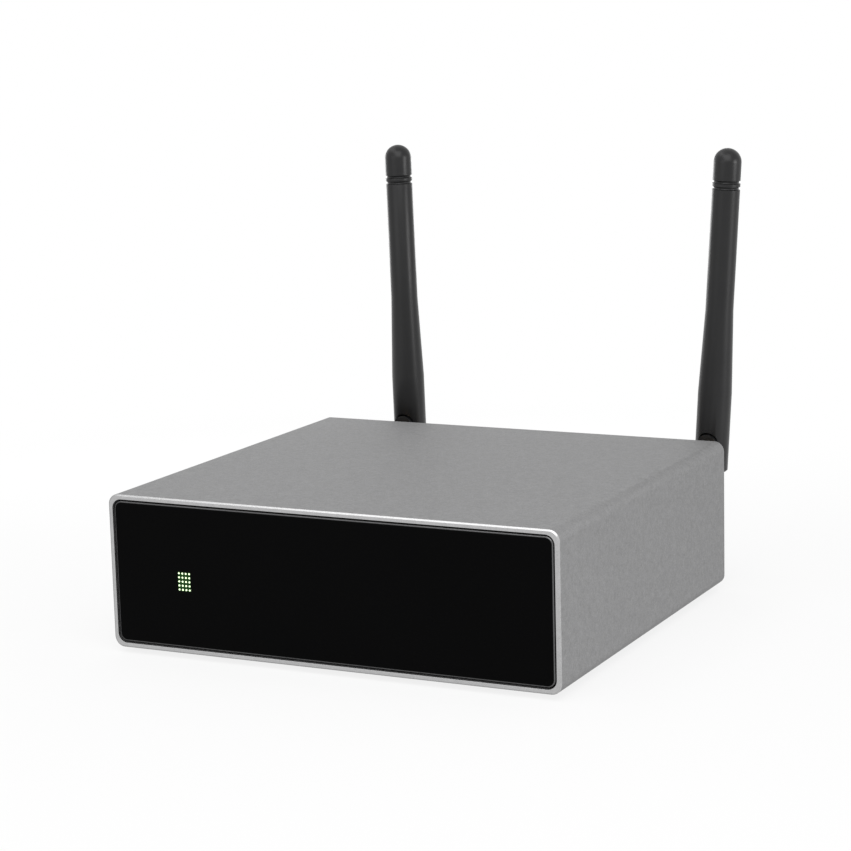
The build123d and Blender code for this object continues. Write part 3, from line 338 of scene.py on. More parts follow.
def round_edges(piece, test, width, segments):
    """Bevels the edges whose two ends pass a test."""
    edit(piece)
    select_where(piece, "EDGE", lambda edge: test(edge.verts[0].co, edge.verts[1].co))
    bpy.ops.mesh.bevel(offset=width, segments=segments, affect="EDGES", clamp_overlap=False)
    finish_edit()


def apply_modifier(piece, kind, **values):
    """Adds a modifier, sets it and applies it."""
    pick(piece)
    bpy.ops.object.modifier_add(type=kind)
    modifier = piece.modifiers[-1]
    for key, value in values.items():
        setattr(modifier, key, value)
    bpy.ops.object.modifier_apply(modifier=modifier.name)


def combine(piece, tool, operation):
    """Joins a tool to a piece, cuts it away or keeps what both hold, and removes the tool."""
    apply_modifier(piece, "BOOLEAN", operation=operation, object=tool, solver="EXACT")
    bpy.data.objects.remove(tool)


def joined(name, parts):
    clear_selection()
    for part in parts:
        part.select_set(True)
    bpy.context.view_layer.objects.active = parts[0]
    if len(parts) > 1:
        bpy.ops.object.join()
    parts[0].name = name
    return parts[0]


def copied(piece, name, move):
    """A copy with its own mesh, moved by a vector that goes into the mesh."""
    pick(piece)
    bpy.ops.object.duplicate()
    bpy.context.object.location = move
    return keep_as(name)


def tip_over(piece, centre, axis, amount):
    """Turns a piece about an axis through a point, and puts the turn into its mesh."""
    pick(piece)
    to_centre = Matrix.Translation(centre)
    piece.matrix_world = to_centre @ Matrix.Rotation(amount, 4, axis) @ to_centre.inverted()
    keep_as(piece.name)


def smooth(piece, degrees, weighted=False):
    """Smooth shading that keeps edges sharper than an angle."""
    pick(piece)
    bpy.ops.object.shade_smooth_by_angle(angle=math.radians(degrees))
    if weighted:
        apply_modifier(piece, "WEIGHTED_NORMAL", keep_sharp=True)


def settle(piece, body, slot, finish_name, *nodes):
    """Gives a finished piece its finish and body, and hides the nodes that it stands for; the slot is not used.
    """
    piece.data.materials.clear()
    piece.data.materials.append(finished_in(finish_name))
    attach(piece, body)
    if nodes:
        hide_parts(*nodes)


def dress(node, finish_name):
    """Gives a CAD node its finish."""
    mesh = frame["nodes"][node].data
    mesh.materials.clear()
    mesh.materials.append(finished_in(finish_name))


# Finishes


def feed(tree, node, inputs):
    """Links each of a node's inputs to a socket, or sets it to a value."""
    for name, value in inputs.items():
        if isinstance(value, NodeSocket):
            tree.links.new(value, node.inputs[name])
        else:
            node.inputs[name].default_value = value


def add_node(tree, kind, inputs, **values):
    """A node with its own values set and its inputs fed."""
    node = tree.nodes.new(kind)
    for key, value in values.items():
        setattr(node, key, value)
    feed(tree, node, inputs)
    return node


def math_node(tree, operation, a, b):
    return add_node(tree, "ShaderNodeMath", {0: a, 1: b}, operation=operation).outputs[0]


def object_place(tree):
    return tree.nodes.new("ShaderNodeTexCoord").outputs["Object"]


def split_axes(tree, vector):
    return add_node(tree, "ShaderNodeSeparateXYZ", {"Vector": vector}).outputs


def ramp_node(tree, value, start, end, first=0.0, smoothed=False):
    """Goes from first to one as a value goes from start to end."""
    inputs = {"Value": value, "From Min": start, "From Max": end, "To Min": first}
    kind = "SMOOTHSTEP" if smoothed else "LINEAR"
    return add_node(tree, "ShaderNodeMapRange", inputs, interpolation_type=kind).outputs["Result"]


def new_material(name):
    """A material, its node tree and its shader."""
    material = bpy.data.materials.new(name)
    material.use_nodes = True
    return material, material.node_tree, material.node_tree.nodes["Principled BSDF"]


def grained_group():
    """Shared by every finish: fine grain, broad mottling and smudged roughness on Object coordinates."""
    name = "Grained Finish"
    if name in bpy.data.node_groups:
        return bpy.data.node_groups[name]
    group = bpy.data.node_groups.new(name, "ShaderNodeTree")
    inputs = (
        "Color", "Grain per Metre", "Grain Contrast", "Mottle per Metre", "Mottle Contrast", "Roughness",
        "Roughness Contrast",
    )
    for direction, sockets in (("INPUT", inputs), ("OUTPUT", ("Color", "Roughness", "Height"))):
        for socket in sockets:
            kind = "NodeSocketColor" if socket == "Color" else "NodeSocketFloat"
            group.interface.new_socket(name=socket, in_out=direction, socket_type=kind)
    given = group.nodes.new("NodeGroupInput").outputs
    place = object_place(group)
    noises, parts = {}, {}
    for kind, detail in (("Grain", 3), ("Mottle", 4)):
        inputs = {"Vector": place, "Scale": given[f"{kind} per Metre"], "Detail": detail}
        noises[kind] = add_node(group, "ShaderNodeTexNoise", inputs).outputs["Fac"]
        parts[kind] = math_node(group, "SUBTRACT", noises[kind], 0.5)
    fine = math_node(group, "MULTIPLY", parts["Grain"], given["Grain Contrast"])
    broad = math_node(group, "MULTIPLY", parts["Mottle"], given["Mottle Contrast"])
    factor = math_node(group, "ADD", math_node(group, "ADD", fine, broad), 1.0)
    tint = add_node(group, "ShaderNodeVectorMath", {0: given["Color"], "Scale": factor}, operation="SCALE")
    smudge = math_node(group, "MULTIPLY", parts["Mottle"], given["Roughness Contrast"])
    rough = math_node(group, "ADD", given["Roughness"], smudge)
    sink = group.nodes.new("NodeGroupOutput")
    feed(group, sink, {"Color": tint.outputs["Vector"], "Roughness": rough, "Height": noises["Grain"]})
    return group


def finish(name, base, roughness, grain, contrast=0.1, mottle=60, mottled=0.05, smudge=0.08,
           bump=0.05, depth=0.05, extra=None, **shader_values):
    """A material from the shared grained finish.

    Other values go to the shader's own sockets, and extra adds the material's own nodes.
    """
    if name in bpy.data.materials:
        return bpy.data.materials[name]
    material, tree, shader = new_material(name)
    grained = add_node(tree, "ShaderNodeGroup", {
        "Color": (*base, 1), "Grain per Metre": grain, "Grain Contrast": contrast, "Mottle per Metre": mottle,
        "Mottle Contrast": mottled, "Roughness": roughness, "Roughness Contrast": smudge,
    }, node_tree=grained_group()).outputs
    relief = {"Strength": bump, "Distance": depth * MM, "Height": grained["Height"]}
    feed(tree, shader, {
        "Base Color": grained["Color"], "Roughness": grained["Roughness"],
        "Normal": add_node(tree, "ShaderNodeBump", relief).outputs["Normal"],
        **{socket.replace("_", " "): value for socket, value in shader_values.items()},
    })
    if extra:
        extra(tree, shader)
    return material


def source_of(shader, socket):
    """What feeds one of the shader's sockets."""
    return shader.inputs[socket].links[0].from_socket


def shift_roughness(tree, shader, mask, change):
    """Makes a finish rougher or smoother where a mask is one."""
    shift = math_node(tree, "MULTIPLY", mask, change)
    feed(tree, shader, {"Roughness": math_node(tree, "ADD", source_of(shader, "Roughness"), shift)})


def polish_and_highlight_rim(tree, shader):
    """Makes the sleeve's front face and chamfer smoother as a cut edge, and lighter in colour partly as that
    cut edge and partly as a painted highlight standing in for the light from the front.
    """
    chamfer, colours = settings().case.rim_chamfer, settings().finish
    depth = split_axes(tree, object_place(tree))["Y"]
    rim_cut_and_highlight = ramp_node(tree, depth, SLEEVE_LOW.y + 1.1 * chamfer, SLEEVE_LOW.y + 0.8 * chamfer)
    # Painted highlight: the lighter rim colour partly stands in for the light from the front on the rim face
    # and chamfer
    added = (colours.rim_polish_and_highlight[0] - colours.aluminium[0],) * 3
    spread = add_node(tree, "ShaderNodeCombineXYZ", dict.fromkeys("XYZ", rim_cut_and_highlight)).outputs["Vector"]
    inputs = {0: added, 1: spread, 2: source_of(shader, "Base Color")}
    blend = add_node(tree, "ShaderNodeVectorMath", inputs, operation="MULTIPLY_ADD")
    feed(tree, shader, {"Base Color": blend.outputs["Vector"]})
    shift_roughness(tree, shader, rim_cut_and_highlight, -0.38)


def polish_bevel(tree, shader):
    """Gives the bevel, which lies behind the panel's flat face, its satin shine."""
    depth = split_axes(tree, object_place(tree))["Y"]
    behind = ramp_node(tree, depth, PANEL_LOW.y + 0.02 * MM, PANEL_LOW.y + 0.1 * MM)
    # A Mix node takes its two colours at inputs 6 and 7 and gives one at output 2
    inputs = {"Factor": behind, 6: source_of(shader, "Base Color"), 7: (*settings().finish.panel_edge, 1)}
    blend = add_node(tree, "ShaderNodeMix", inputs, data_type="RGBA")
    feed(tree, shader, {"Base Color": blend.outputs[2], "Metallic": behind})
    shift_roughness(tree, shader, behind, 0.3)


def spill_light(tree, shader):
    """Polishes the bevel and adds the faint green spill round the lit points."""
    polish_bevel(tree, shader)
    across, up = grid_reach()
    inputs = {"Vector": object_place(tree), "Location": grid_middle(), "Scale": (across, MM, up)}
    moved = add_node(tree, "ShaderNodeMapping", inputs, vector_type="TEXTURE")
    axes = split_axes(tree, moved.outputs["Vector"])
    x, z = (math_node(tree, "ABSOLUTE", axes[axis], 0) for axis in "XZ")
    spill = ramp_node(tree, math_node(tree, "MAXIMUM", x, z), 1.15, 0.85, smoothed=True)
    inputs = {0: settings().finish.glow, "Scale": spill}
    glow = add_node(tree, "ShaderNodeVectorMath", inputs, operation="SCALE")
    feed(tree, shader, {"Emission Color": glow.outputs["Vector"]})


def light_up(tree, shader):
    """Lets a finish shine in its own grained colour."""
    feed(tree, shader, {"Emission Color": source_of(shader, "Base Color")})


KNOB_GLOSS = dict(
    grain=2500, contrast=0.12, mottle=150, mottled=0.1, smudge=0.15, bump=0.1, depth=0.01,
    Coat_Weight=0.3, Coat_Roughness=0.15,
)

# Each finish: its colour, or that colour's name in the settings, its roughness and its other values
FINISHES = {
    # The sleeve's rim takes a lighter colour that is partly a painted highlight
    "Blasted Aluminium": ("aluminium", 0.66, dict(
        grain=2400, contrast=0.5, mottle=600, mottled=0.3, bump=0.4, depth=0.03,
        Metallic=1.0, Specular_Tint=(0.35, 0.35, 0.35, 1), extra=polish_and_highlight_rim,
    )),
    "Gloss Black Panel": ("panel", 0.06, dict(
        grain=900, contrast=0.2, mottle=30, mottled=0.3, smudge=0.02, bump=0.01, depth=0.005,
        Specular_IOR_Level=0.025, Emission_Strength=1.0, extra=spill_light,
    )),
    "Lit Point": ("light", 0.4, dict(
        grain=2000, contrast=0.05, mottle=300, mottled=0.2, Emission_Strength=1.0, extra=light_up,
    )),
    "Clear Guide Plastic": ((0.75, 0.8, 0.72), 0.12, dict(
        grain=800, contrast=0.03, Transmission_Weight=0.6, IOR=1.49,
    )),
    "Moulded Black Plastic": ("black_plastic", 0.34, dict(
        grain=5000, contrast=0.3, mottle=120, mottled=0.25, smudge=0.12, bump=0.25, depth=0.02,
        Specular_IOR_Level=0.3,
    )),
    "Black Anodised Panel": ("rear_panel", 0.5, dict(
        grain=4500, contrast=0.4, mottle=80, mottled=0.2, bump=0.3, depth=0.02, Specular_IOR_Level=0.45,
    )),
    "Printed Marking": ("marking", 0.55, dict(grain=6000, contrast=0.3, mottle=400, mottled=0.2)),
    "Red Grip": ("knob_red", 0.28, KNOB_GLOSS),
    "Black Grip": ("knob_black", 0.28, KNOB_GLOSS),
    "Gold Plate": ("gold", 0.22, dict(
        grain=1500, contrast=0.06, mottle=200, mottled=0.1, smudge=0.18, bump=0.06, depth=0.01, Metallic=1.0,
    )),
    "Nickel Plate": ("nickel", 0.28, dict(
        grain=1800, contrast=0.06, mottle=220, mottled=0.1, smudge=0.2, bump=0.08, depth=0.01, Metallic=1.0,
    )),
    "Foot Rubber": ("rubber", 0.75, dict(
        grain=3000, contrast=0.4, mottle=200, mottled=0.3, bump=0.4, depth=0.03,
    )),
    "Solder Mask": ("board", 0.35, dict(
        grain=600, contrast=0.5, mottle=150, mottled=0.5, bump=0.3, depth=0.03, Specular_IOR_Level=0.5,
    )),
    "Foam Tape": ((0.02, 0.02, 0.02), 0.9, dict(grain=2500, contrast=0.5, bump=0.5)),
    "Filled Moulding": ((0.03, 0.03, 0.03), 0.6, dict(grain=3500, contrast=0.3, bump=0.3)),
    "Cream Nylon": ((0.72, 0.68, 0.55), 0.5, dict(grain=2500, bump=0.2)),
    "Flat Cable": ((0.70, 0.70, 0.66), 0.35, dict(grain=1000, contrast=0.05)),
    "Ferrite": ((0.045, 0.045, 0.05), 0.55, dict(grain=1800, contrast=0.5, bump=0.3)),
    "Film Capacitor": ((0.40, 0.06, 0.02), 0.35, dict(grain=1800, bump=0.1)),
    "Capacitor Sleeve": ((0.01, 0.012, 0.03), 0.3, dict(grain=1500, bump=0.1)),
    "Black Heat Sink": ((0.02, 0.02, 0.02), 0.5, dict(grain=2500, contrast=0.4, bump=0.3, Metallic=0.6)),
    "Module Board": ((0.006, 0.02, 0.09), 0.35, dict(grain=700, contrast=0.5, bump=0.3)),
    "White Insulator": ((0.68, 0.68, 0.66), 0.4, dict(grain=2500, contrast=0.08, bump=0.1)),
    "Light Chip": ((0.8, 0.8, 0.62), 0.3, dict(grain=2500, bump=0.1)),
    "Button Plastic": ((0.35, 0.35, 0.36), 0.4, dict(grain=3000, bump=0.15)),
}


def finished_in(name):
    """The named finish, made on its first use."""
    base, roughness, values = FINISHES[name]
    if isinstance(base, str):
        base = getattr(settings().finish, base)
    return finish(name, base, roughness, **values)


# Front


def grid_middle():
    low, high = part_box("display_leds")
    middle = (low + high) / 2
    middle.y = PANEL_LOW.y
    return middle


def grid_reach():
    """Half the grid's width and height, out to its outer points' edges."""
    grid = settings().grid
    across = (grid.columns - 1) * grid.pitch_x / 2 + grid.pin_radius
    up = (grid.rows - 1) * grid.pitch_z / 2 + grid.pin_radius
    return across, up


def grid_places():
    """Each light point's x and z."""
    grid = settings().grid
    middle = grid_middle()
    for column in range(grid.columns):
        for row in range(grid.rows):
            x = middle.x + (column - (grid.columns - 1) / 2) * grid.pitch_x
            z = middle.z + (row - (grid.rows - 1) / 2) * grid.pitch_z
            yield x, z


def pins(name, radius, start, end):
    """A round pin at each light point, along Y."""
    return joined(name, [rod_piece(name, (x, start, z), (x, end, z), radius, 20) for x, z in grid_places()])


def sleeve_depth(x, z):
    """How far inside the sleeve's outer outline a point lies."""
    corner = settings().case.corner
    half = (SLEEVE_HIGH - SLEEVE_LOW) / 2
    middle = (SLEEVE_HIGH + SLEEVE_LOW) / 2
    dx = abs(x - middle.x) - (half.x - corner)
    dz = abs(z - middle.z) - (half.z - corner)
    outside = math.hypot(max(dx, 0), max(dz, 0)) + min(max(dx, dz), 0)
    return corner - outside


def end_test(y, outer):
    """A test for the edges round the outside, or round the inside, of an end of the sleeve."""
    halfway, at_end = settings().case.wall / 2, lies_at(y)
    return lambda a, b: at_end(a, b) and all((sleeve_depth(p.x, p.z) < halfway) == outer for p in (a, b))


def foot_places():
    """Each foot's x and y."""
    low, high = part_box("feet")
    r = settings().case.foot_radius
    return [(x, y) for x in (low.x + r, high.x - r) for y in (low.y + r, high.y - r)]


class AMPLIFIER_OT_sleeve(Operator):
    """Model the extruded aluminium sleeve with its chamfered front rim, which is made brighter partly by a
    painted highlight
    """

    bl_idname = "amplifier.sleeve"
    bl_label = "Sleeve"

    def execute(self, context):
        case = settings().case
        front, back = SLEEVE_LOW.y, SLEEVE_HIGH.y
        sleeve = box_piece("sleeve", SLEEVE_LOW, SLEEVE_HIGH)
        round_edges(sleeve, runs_along(1), case.corner, 12)
        round_edges(sleeve, end_test(front, True), case.rim_chamfer, 1)
        round_edges(sleeve, end_test(back, True), case.rear_break, 2)
        wall, beyond = Vector((case.wall, 0, case.wall)), Vector((0, MM, 0))
        hollow = box_piece("hollow", SLEEVE_LOW + wall - beyond, SLEEVE_HIGH - wall + beyond)
        round_edges(hollow, runs_along(1), case.inner_corner, 12)
        combine(sleeve, hollow, "DIFFERENCE")
        round_edges(sleeve, end_test(front, False), case.rim_inner_break, 2)
        for part in self.make_ports(case) + self.make_ribs(case):
            combine(sleeve, part, "UNION")
        for x, y in foot_places():
            hole = rod_piece("foot_hole", (x, y, 0), (x, y, SLEEVE_LOW.z + 2 * case.wall), case.foot_hole, 32)
            combine(sleeve, hole, "DIFFERENCE")
        smooth(sleeve, 40, weighted=True)
        settle(sleeve, "root", "case_aluminium", "Blasted Aluminium", "case_sleeve")
        return {"FINISHED"}

    def make_ports(self, case):
        """The four screw ports, each built into its corner of the sleeve."""
        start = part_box("panel_tape")[1].y + case.carrier
        middle, half = (SLEEVE_LOW + SLEEVE_HIGH) / 2, (SLEEVE_HIGH - SLEEVE_LOW) / 2
        inset = case.wall + case.port_inset
        ports = []
        for across in (-1, 1):
            for up in (-1, 1):
                x = middle.x + across * (half.x - inset)
                z = middle.z + up * (half.z - inset)
                ports.append(self.make_port(case, x, z, across, up, start, REAR_LOW.y))
        return ports

    def make_port(self, case, x, z, across, up, start, end):
        """A boss run into the walls beside it, with its bore and slit."""
        r, reach = case.port, case.port_inset + case.wall / 2
        port = rod_piece("port", (x, start, z), (x, end, z), r, 32)
        for (x1, z1), (x2, z2) in (((0, -r), (reach, r)), ((-r, 0), (r, reach))):
            web = box_piece("web", (x + across * x1, start, z + up * z1), (x + across * x2, end, z + up * z2))
            combine(port, web, "UNION")
        bore = rod_piece("bore", (x, start - MM, z), (x, end + MM, z), case.port_bore, 24)
        combine(port, bore, "DIFFERENCE")
        half_slit = case.port_slit / 2
        slit = box_piece("slit", (x, start - MM, z - half_slit), (x + 2 * r, end + MM, z + half_slit))
        tip_over(slit, (x, 0, z), "Y", -math.atan2(-up, -across))
        combine(port, slit, "DIFFERENCE")
        return port

    def make_ribs(self, case):
        """The ribs that hold the main board's two edges."""
        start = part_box("panel_tape")[1].y + case.carrier
        low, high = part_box("main_board")
        ribs = []
        for z in (low.z - case.rib, high.z + case.rib_gap):
            for wall_x, across in ((SLEEVE_LOW.x, 1), (SLEEVE_HIGH.x, -1)):
                root = (wall_x + across * case.wall / 2, start, z)
                tip = (wall_x + across * (case.wall + case.rib_depth), REAR_LOW.y, z + case.rib)
                ribs.append(box_piece("rib", root, tip))
        return ribs


class AMPLIFIER_OT_front(Operator):
    """Model the gloss front panel and the lit pins of its light guide"""

    bl_idname = "amplifier.front"
    bl_label = "Front Panel and Light Grid"

    def execute(self, context):
        case, grid = settings().case, settings().grid
        panel = box_piece("front_panel_gloss", PANEL_LOW, PANEL_HIGH)
        round_edges(panel, runs_along(1), case.panel_corner, 8)
        round_edges(panel, lies_at(PANEL_LOW.y), case.panel_bevel, 3)
        holes = pins("holes", grid.hole_radius, PANEL_LOW.y - MM, PANEL_HIGH.y + MM)
        combine(panel, holes, "DIFFERENCE")
        smooth(panel, 35, weighted=True)
        settle(panel, "root", "panel_gloss", "Gloss Black Panel", "front_panel")
        self.make_light_guide(grid)
        return {"FINISHED"}

    def make_light_guide(self, grid):
        """The lit pins, and the flanged block that they stand on."""
        low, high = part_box("light_guide")
        points = pins("light_points", grid.pin_radius, PANEL_LOW.y, PANEL_HIGH.y)
        smooth(points, 40)
        settle(points, "root", "light_guide_clear", "Lit Point", "light_guide")
        flange = box_piece("light_guide_block", (low.x, PANEL_HIGH.y, low.z), high)
        edit(flange)
        select_where(flange, "FACE", lambda face: face.normal.y < -0.9)
        bpy.ops.mesh.inset(thickness=grid.flange)
        finish_edit()
        settle(flange, "root", "light_guide_clear", "Clear Guide Plastic", "light_guide")


class AMPLIFIER_OT_feet(Operator):
    """Turn the four rubber feet"""

    bl_idname = "amplifier.feet"
    bl_label = "Feet"

    def execute(self, context):
        case, top = settings().case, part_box("feet")[1].z
        r, edge, stem = case.foot_radius, case.foot_edge, case.foot_stem
        profile = [(0, case.foot_dish), (0.55 * r, case.foot_dish), (0.6 * r, 0)]
        profile += arc((r - case.foot_draft - edge, edge), edge, -90, 0, 4)
        profile += [(r, SLEEVE_LOW.z), (stem, SLEEVE_LOW.z), (stem, top - case.foot_point)]
        profile += [(stem / 2, top), (0, top)]
        spots = foot_places()
        first = spots[0]
        foot = turned_piece("foot", profile, (*first, 0), (0, 0, 1), 48)
        feet = [foot] + [copied(foot, "foot", (x - first[0], y - first[1], 0)) for x, y in spots[1:]]
        feet = joined("rubber_feet", feet)
        smooth(feet, 35)
        settle(feet, "root", "foot_rubber", "Foot Rubber", "feet")
        return {"FINISHED"}


# Rear


class AMPLIFIER_OT_knobs(Operator):
    """Model one fluted speaker knob and copy it to the four posts"""

    bl_idname = "amplifier.knobs"
    bl_label = "Speaker Knobs"

    def execute(self, context):
        knob = settings().knob
        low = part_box("speaker_knob_1")[0]
        first = self.make_knob(knob)
        for i in POSTS:
            node = f"speaker_knob_{i}"
            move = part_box(node)[0] - low
            grip = first if i == 1 else copied(first, f"speaker_grip_{i}", move)
            colour = "red" if i in PLUS_POSTS else "black"
            settle(grip, node, f"knob_{colour}", f"{colour.capitalize()} Grip", node)
        return {"FINISHED"}

    def make_knob(self, knob):
        """The first post's knob: turned, then fluted round its grip."""
        low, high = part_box("speaker_knob_1")
        long, r = high.y - low.y, knob.radius
        centre = Vector(((low.x + high.x) / 2, low.y, (low.z + high.z) / 2))
        ease, end_round, mouth_break = knob.foot_break, knob.end_round, knob.mouth_break
        profile = [(knob.bore, 0), (r - ease, 0), (r, 2 * ease), (r, long - end_round)]
        profile += arc((r - end_round, long - end_round), end_round, 0, 90, 5)[1:]
        profile += [(knob.mouth + mouth_break, long), (knob.mouth, long - mouth_break)]
        profile += [(knob.mouth, long - knob.end_wall), (knob.bore, long - knob.end_wall), (knob.bore, 0)]
        grip = turned_piece("speaker_grip_1", profile, centre, (0, 1, 0), 96)
        flutes = []
        for i in range(knob.flutes):
            a = math.tau * i / knob.flutes
            spot = centre + Vector((math.cos(a), 0, math.sin(a))) * (r + knob.flute_offset)
            start, end = spot + Vector((0, knob.flute_start, 0)), spot + Vector((0, long + MM, 0))
            flutes.append(rod_piece("flute", start, end, knob.flute_radius, 24))
        combine(grip, joined("flutes", flutes), "DIFFERENCE")
        smooth(grip, 32)
        return grip


def printed_mark(text, size, x, z):
    """A printed mark on the rear panel, read from behind."""
    relief = settings().mark.relief
    clear_selection()
    bpy.ops.object.text_add(location=(0, 0, 0))
    mark = bpy.context.object
    mark.data.body = text
    mark.data.size = size
    mark.data.align_x = "CENTER"
    mark.data.align_y = "CENTER"
    mark.data.extrude = relief
    bpy.ops.object.convert(target="MESH")
    mark.location = (x, REAR_HIGH.y + relief, z)
    mark.rotation_euler = (math.pi / 2, 0, math.pi)
    return keep_as("mark")


class AMPLIFIER_OT_markings(Operator):
    """Print the plain polarity and channel marks on the rear panel"""

    bl_idname = "amplifier.markings"
    bl_label = "Rear Markings"

    def execute(self, context):
        sizes, marks = settings().mark, []
        for i in POSTS:
            low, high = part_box(f"speaker_knob_{i}")
            sign = "+" if i in PLUS_POSTS else "−"
            marks.append(printed_mark(sign, sizes.sign, (low.x + high.x) / 2, high.z + sizes.sign_rise))
        for pair, letter in (((1, 2), "R"), ((3, 4), "L")):
            (low, _), (_, high) = (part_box(f"speaker_knob_{i}") for i in pair)
            marks.append(printed_mark(letter, sizes.letter, (low.x + high.x) / 2, low.z - sizes.letter_drop))
        settle(joined("rear_markings", marks), "root", "rear_aluminium", "Printed Marking")
        return {"FINISHED"}


# Antennas


def hinge_of(side):
    """The hinge's place and the antenna's lean to the right, from its tilt joint."""
    joint = next(j for j in frame["joints"] if j["name"] == f"antenna_{side}_tilt")
    axis = joint["axis"]
    return Vector(joint["pos_m"]), math.atan2(axis[2], -axis[0])


class AMPLIFIER_OT_antennas(Operator):
    """Model each folding antenna's rod, end cap and knuckle"""

    bl_idname = "amplifier.antennas"
    bl_label = "Antennas"

    def execute(self, context):
        sizes = settings().antenna
        for side in SIDES:
            hinge, lean = hinge_of(side)
            rod, base = f"antenna_{side}_rod", f"antenna_{side}_base"
            pieces = (
                (self.make_rod(side, hinge, sizes), rod, "blade"),
                (self.make_cap(side, hinge, sizes), rod, "cap"),
                (self.make_knuckle(side, hinge, sizes), base, "knuckle"),
            )
            for piece, body, part in pieces:
                tip_over(piece, hinge, "Y", lean)
                smooth(piece, 32)
                settle(piece, body, "antenna_plastic", "Moulded Black Plastic", f"antenna_{side}_{part}")
        return {"FINISHED"}

    def make_rod(self, side, hinge, sizes):
        """The flared rod: spun, rounded at its foot, then slotted for the knuckle."""
        top = sizes.length - sizes.foot_radius
        joint = top - sizes.groove
        second = joint - sizes.groove_step
        groove, r = sizes.groove_radius, sizes.tip_radius
        foot = -sizes.foot_radius
        profile = [(sizes.bore, joint), (r - groove, joint)]
        profile += arc((r, joint), groove, 180, 270, 3)[1:]
        profile += arc((r, second), groove, 90, 270, 6)
        profile += [(r, top - sizes.flare_start), (sizes.foot_radius, top - sizes.flare_end)]
        profile += [(sizes.foot_radius, foot - MM), (0, foot - MM)]
        profile += [(0, sizes.bore_floor), (sizes.bore, sizes.bore_floor), (sizes.bore, joint)]
        rod = turned_piece(f"antenna_{side}_shell", profile, hinge, (0, 0, 1), 72)
        combine(rod, self.foot_outline(hinge, sizes), "INTERSECT")
        for cutter in self.slot_cutters(hinge, sizes):
            combine(rod, cutter, "DIFFERENCE")
        apply_modifier(
            rod, "BEVEL", width=0.12 * MM, segments=2, limit_method="ANGLE", angle_limit=math.radians(50)
        )
        return rod

    def foot_outline(self, hinge, sizes):
        """What the rod keeps: all above the hinge, and a barrel with eased ends below."""
        reach, ease = sizes.foot_radius, sizes.end_break
        profile = [(0, -reach), (reach - ease, -reach), (reach, ease - reach), (reach, reach - ease)]
        profile += [(reach - ease, reach), (0, reach)]
        barrel = turned_piece("foot_barrel", profile, hinge, (1, 0, 0), 96)
        wide = Vector((1, 1, 0)) * (reach + 0.01 * MM)
        upper = box_piece("upper", hinge - wide, hinge + wide + Vector((0, 0, sizes.length)))
        combine(barrel, upper, "UNION")
        return barrel

    def slot_cutters(self, hinge, sizes):
        """The arch towards the panel, the open foot below it and the room for the barrel."""
        half, deep = sizes.slot, sizes.foot_radius + MM
        arch = box_piece(
            "arch", hinge + Vector((-half, -deep, -half)), hinge + Vector((half, 0, sizes.slot_rise))
        )
        round_edges(arch, runs_along(1, lambda p: p.z > hinge.z), half - 0.01 * MM, 12)
        open_foot = box_piece(
            "open_foot", hinge + Vector((-half, -deep, -2 * deep)), hinge + Vector((half, half, 0))
        )
        across = Vector((half, 0, 0))
        room = rod_piece("room", hinge - across, hinge + across, sizes.barrel + sizes.barrel_gap, 64)
        return arch, open_foot, room

    def make_cap(self, side, hinge, sizes):
        """The domed cap down to the first groove, with its spigot."""
        top = sizes.length - sizes.foot_radius
        joint = top - sizes.groove
        r, groove = sizes.tip_radius, sizes.groove_radius
        profile = arc((0, top - r), r, 90, 0, 14) + arc((r, joint), groove, 90, 180, 3)
        spigot, spigot_end = sizes.bore - sizes.spigot_gap, joint - sizes.spigot
        profile += [(spigot, joint), (spigot, spigot_end), (0, spigot_end)]
        return turned_piece(f"antenna_{side}_end_cap", profile, hinge, (0, 0, 1), 72)

    def make_knuckle(self, side, hinge, sizes):
        """The swivelling base: collar, arched stem and hinge barrel."""
        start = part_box(f"antenna_{side}_knuckle")[0].y
        collar_end = start + sizes.collar_length
        half = sizes.knuckle
        stem = box_piece(
            f"antenna_{side}_knuckle_body",
            (hinge.x - half, collar_end - 0.5 * MM, hinge.z - half),
            (hinge.x + half, hinge.y - sizes.barrel_gap, hinge.z + sizes.knuckle_rise),
        )
        round_edges(stem, runs_along(1), half - 0.01 * MM, 12)
        r, ease, long = sizes.collar, 0.3 * MM, sizes.collar_length
        seat = sizes.ferrule_depth - MM
        profile = [(sizes.ferrule, 0), (r - ease, 0), (r, ease), (r, long - ease), (r - ease, long)]
        profile += [(0, long), (0, seat), (sizes.ferrule, seat), (sizes.ferrule, 0)]
        collar = turned_piece("collar", profile, (hinge.x, start, hinge.z), (0, 1, 0), 64)
        across = Vector((half, 0, 0))
        barrel = rod_piece("barrel", hinge - across, hinge + across, sizes.barrel, 64)
        combine(stem, collar, "UNION")
        combine(stem, barrel, "UNION")
        bore = rod_piece("pin_hole", hinge - 2 * across, hinge + 2 * across, sizes.pin, 32)
        combine(stem, bore, "DIFFERENCE")
        return stem


# Carried-over nodes


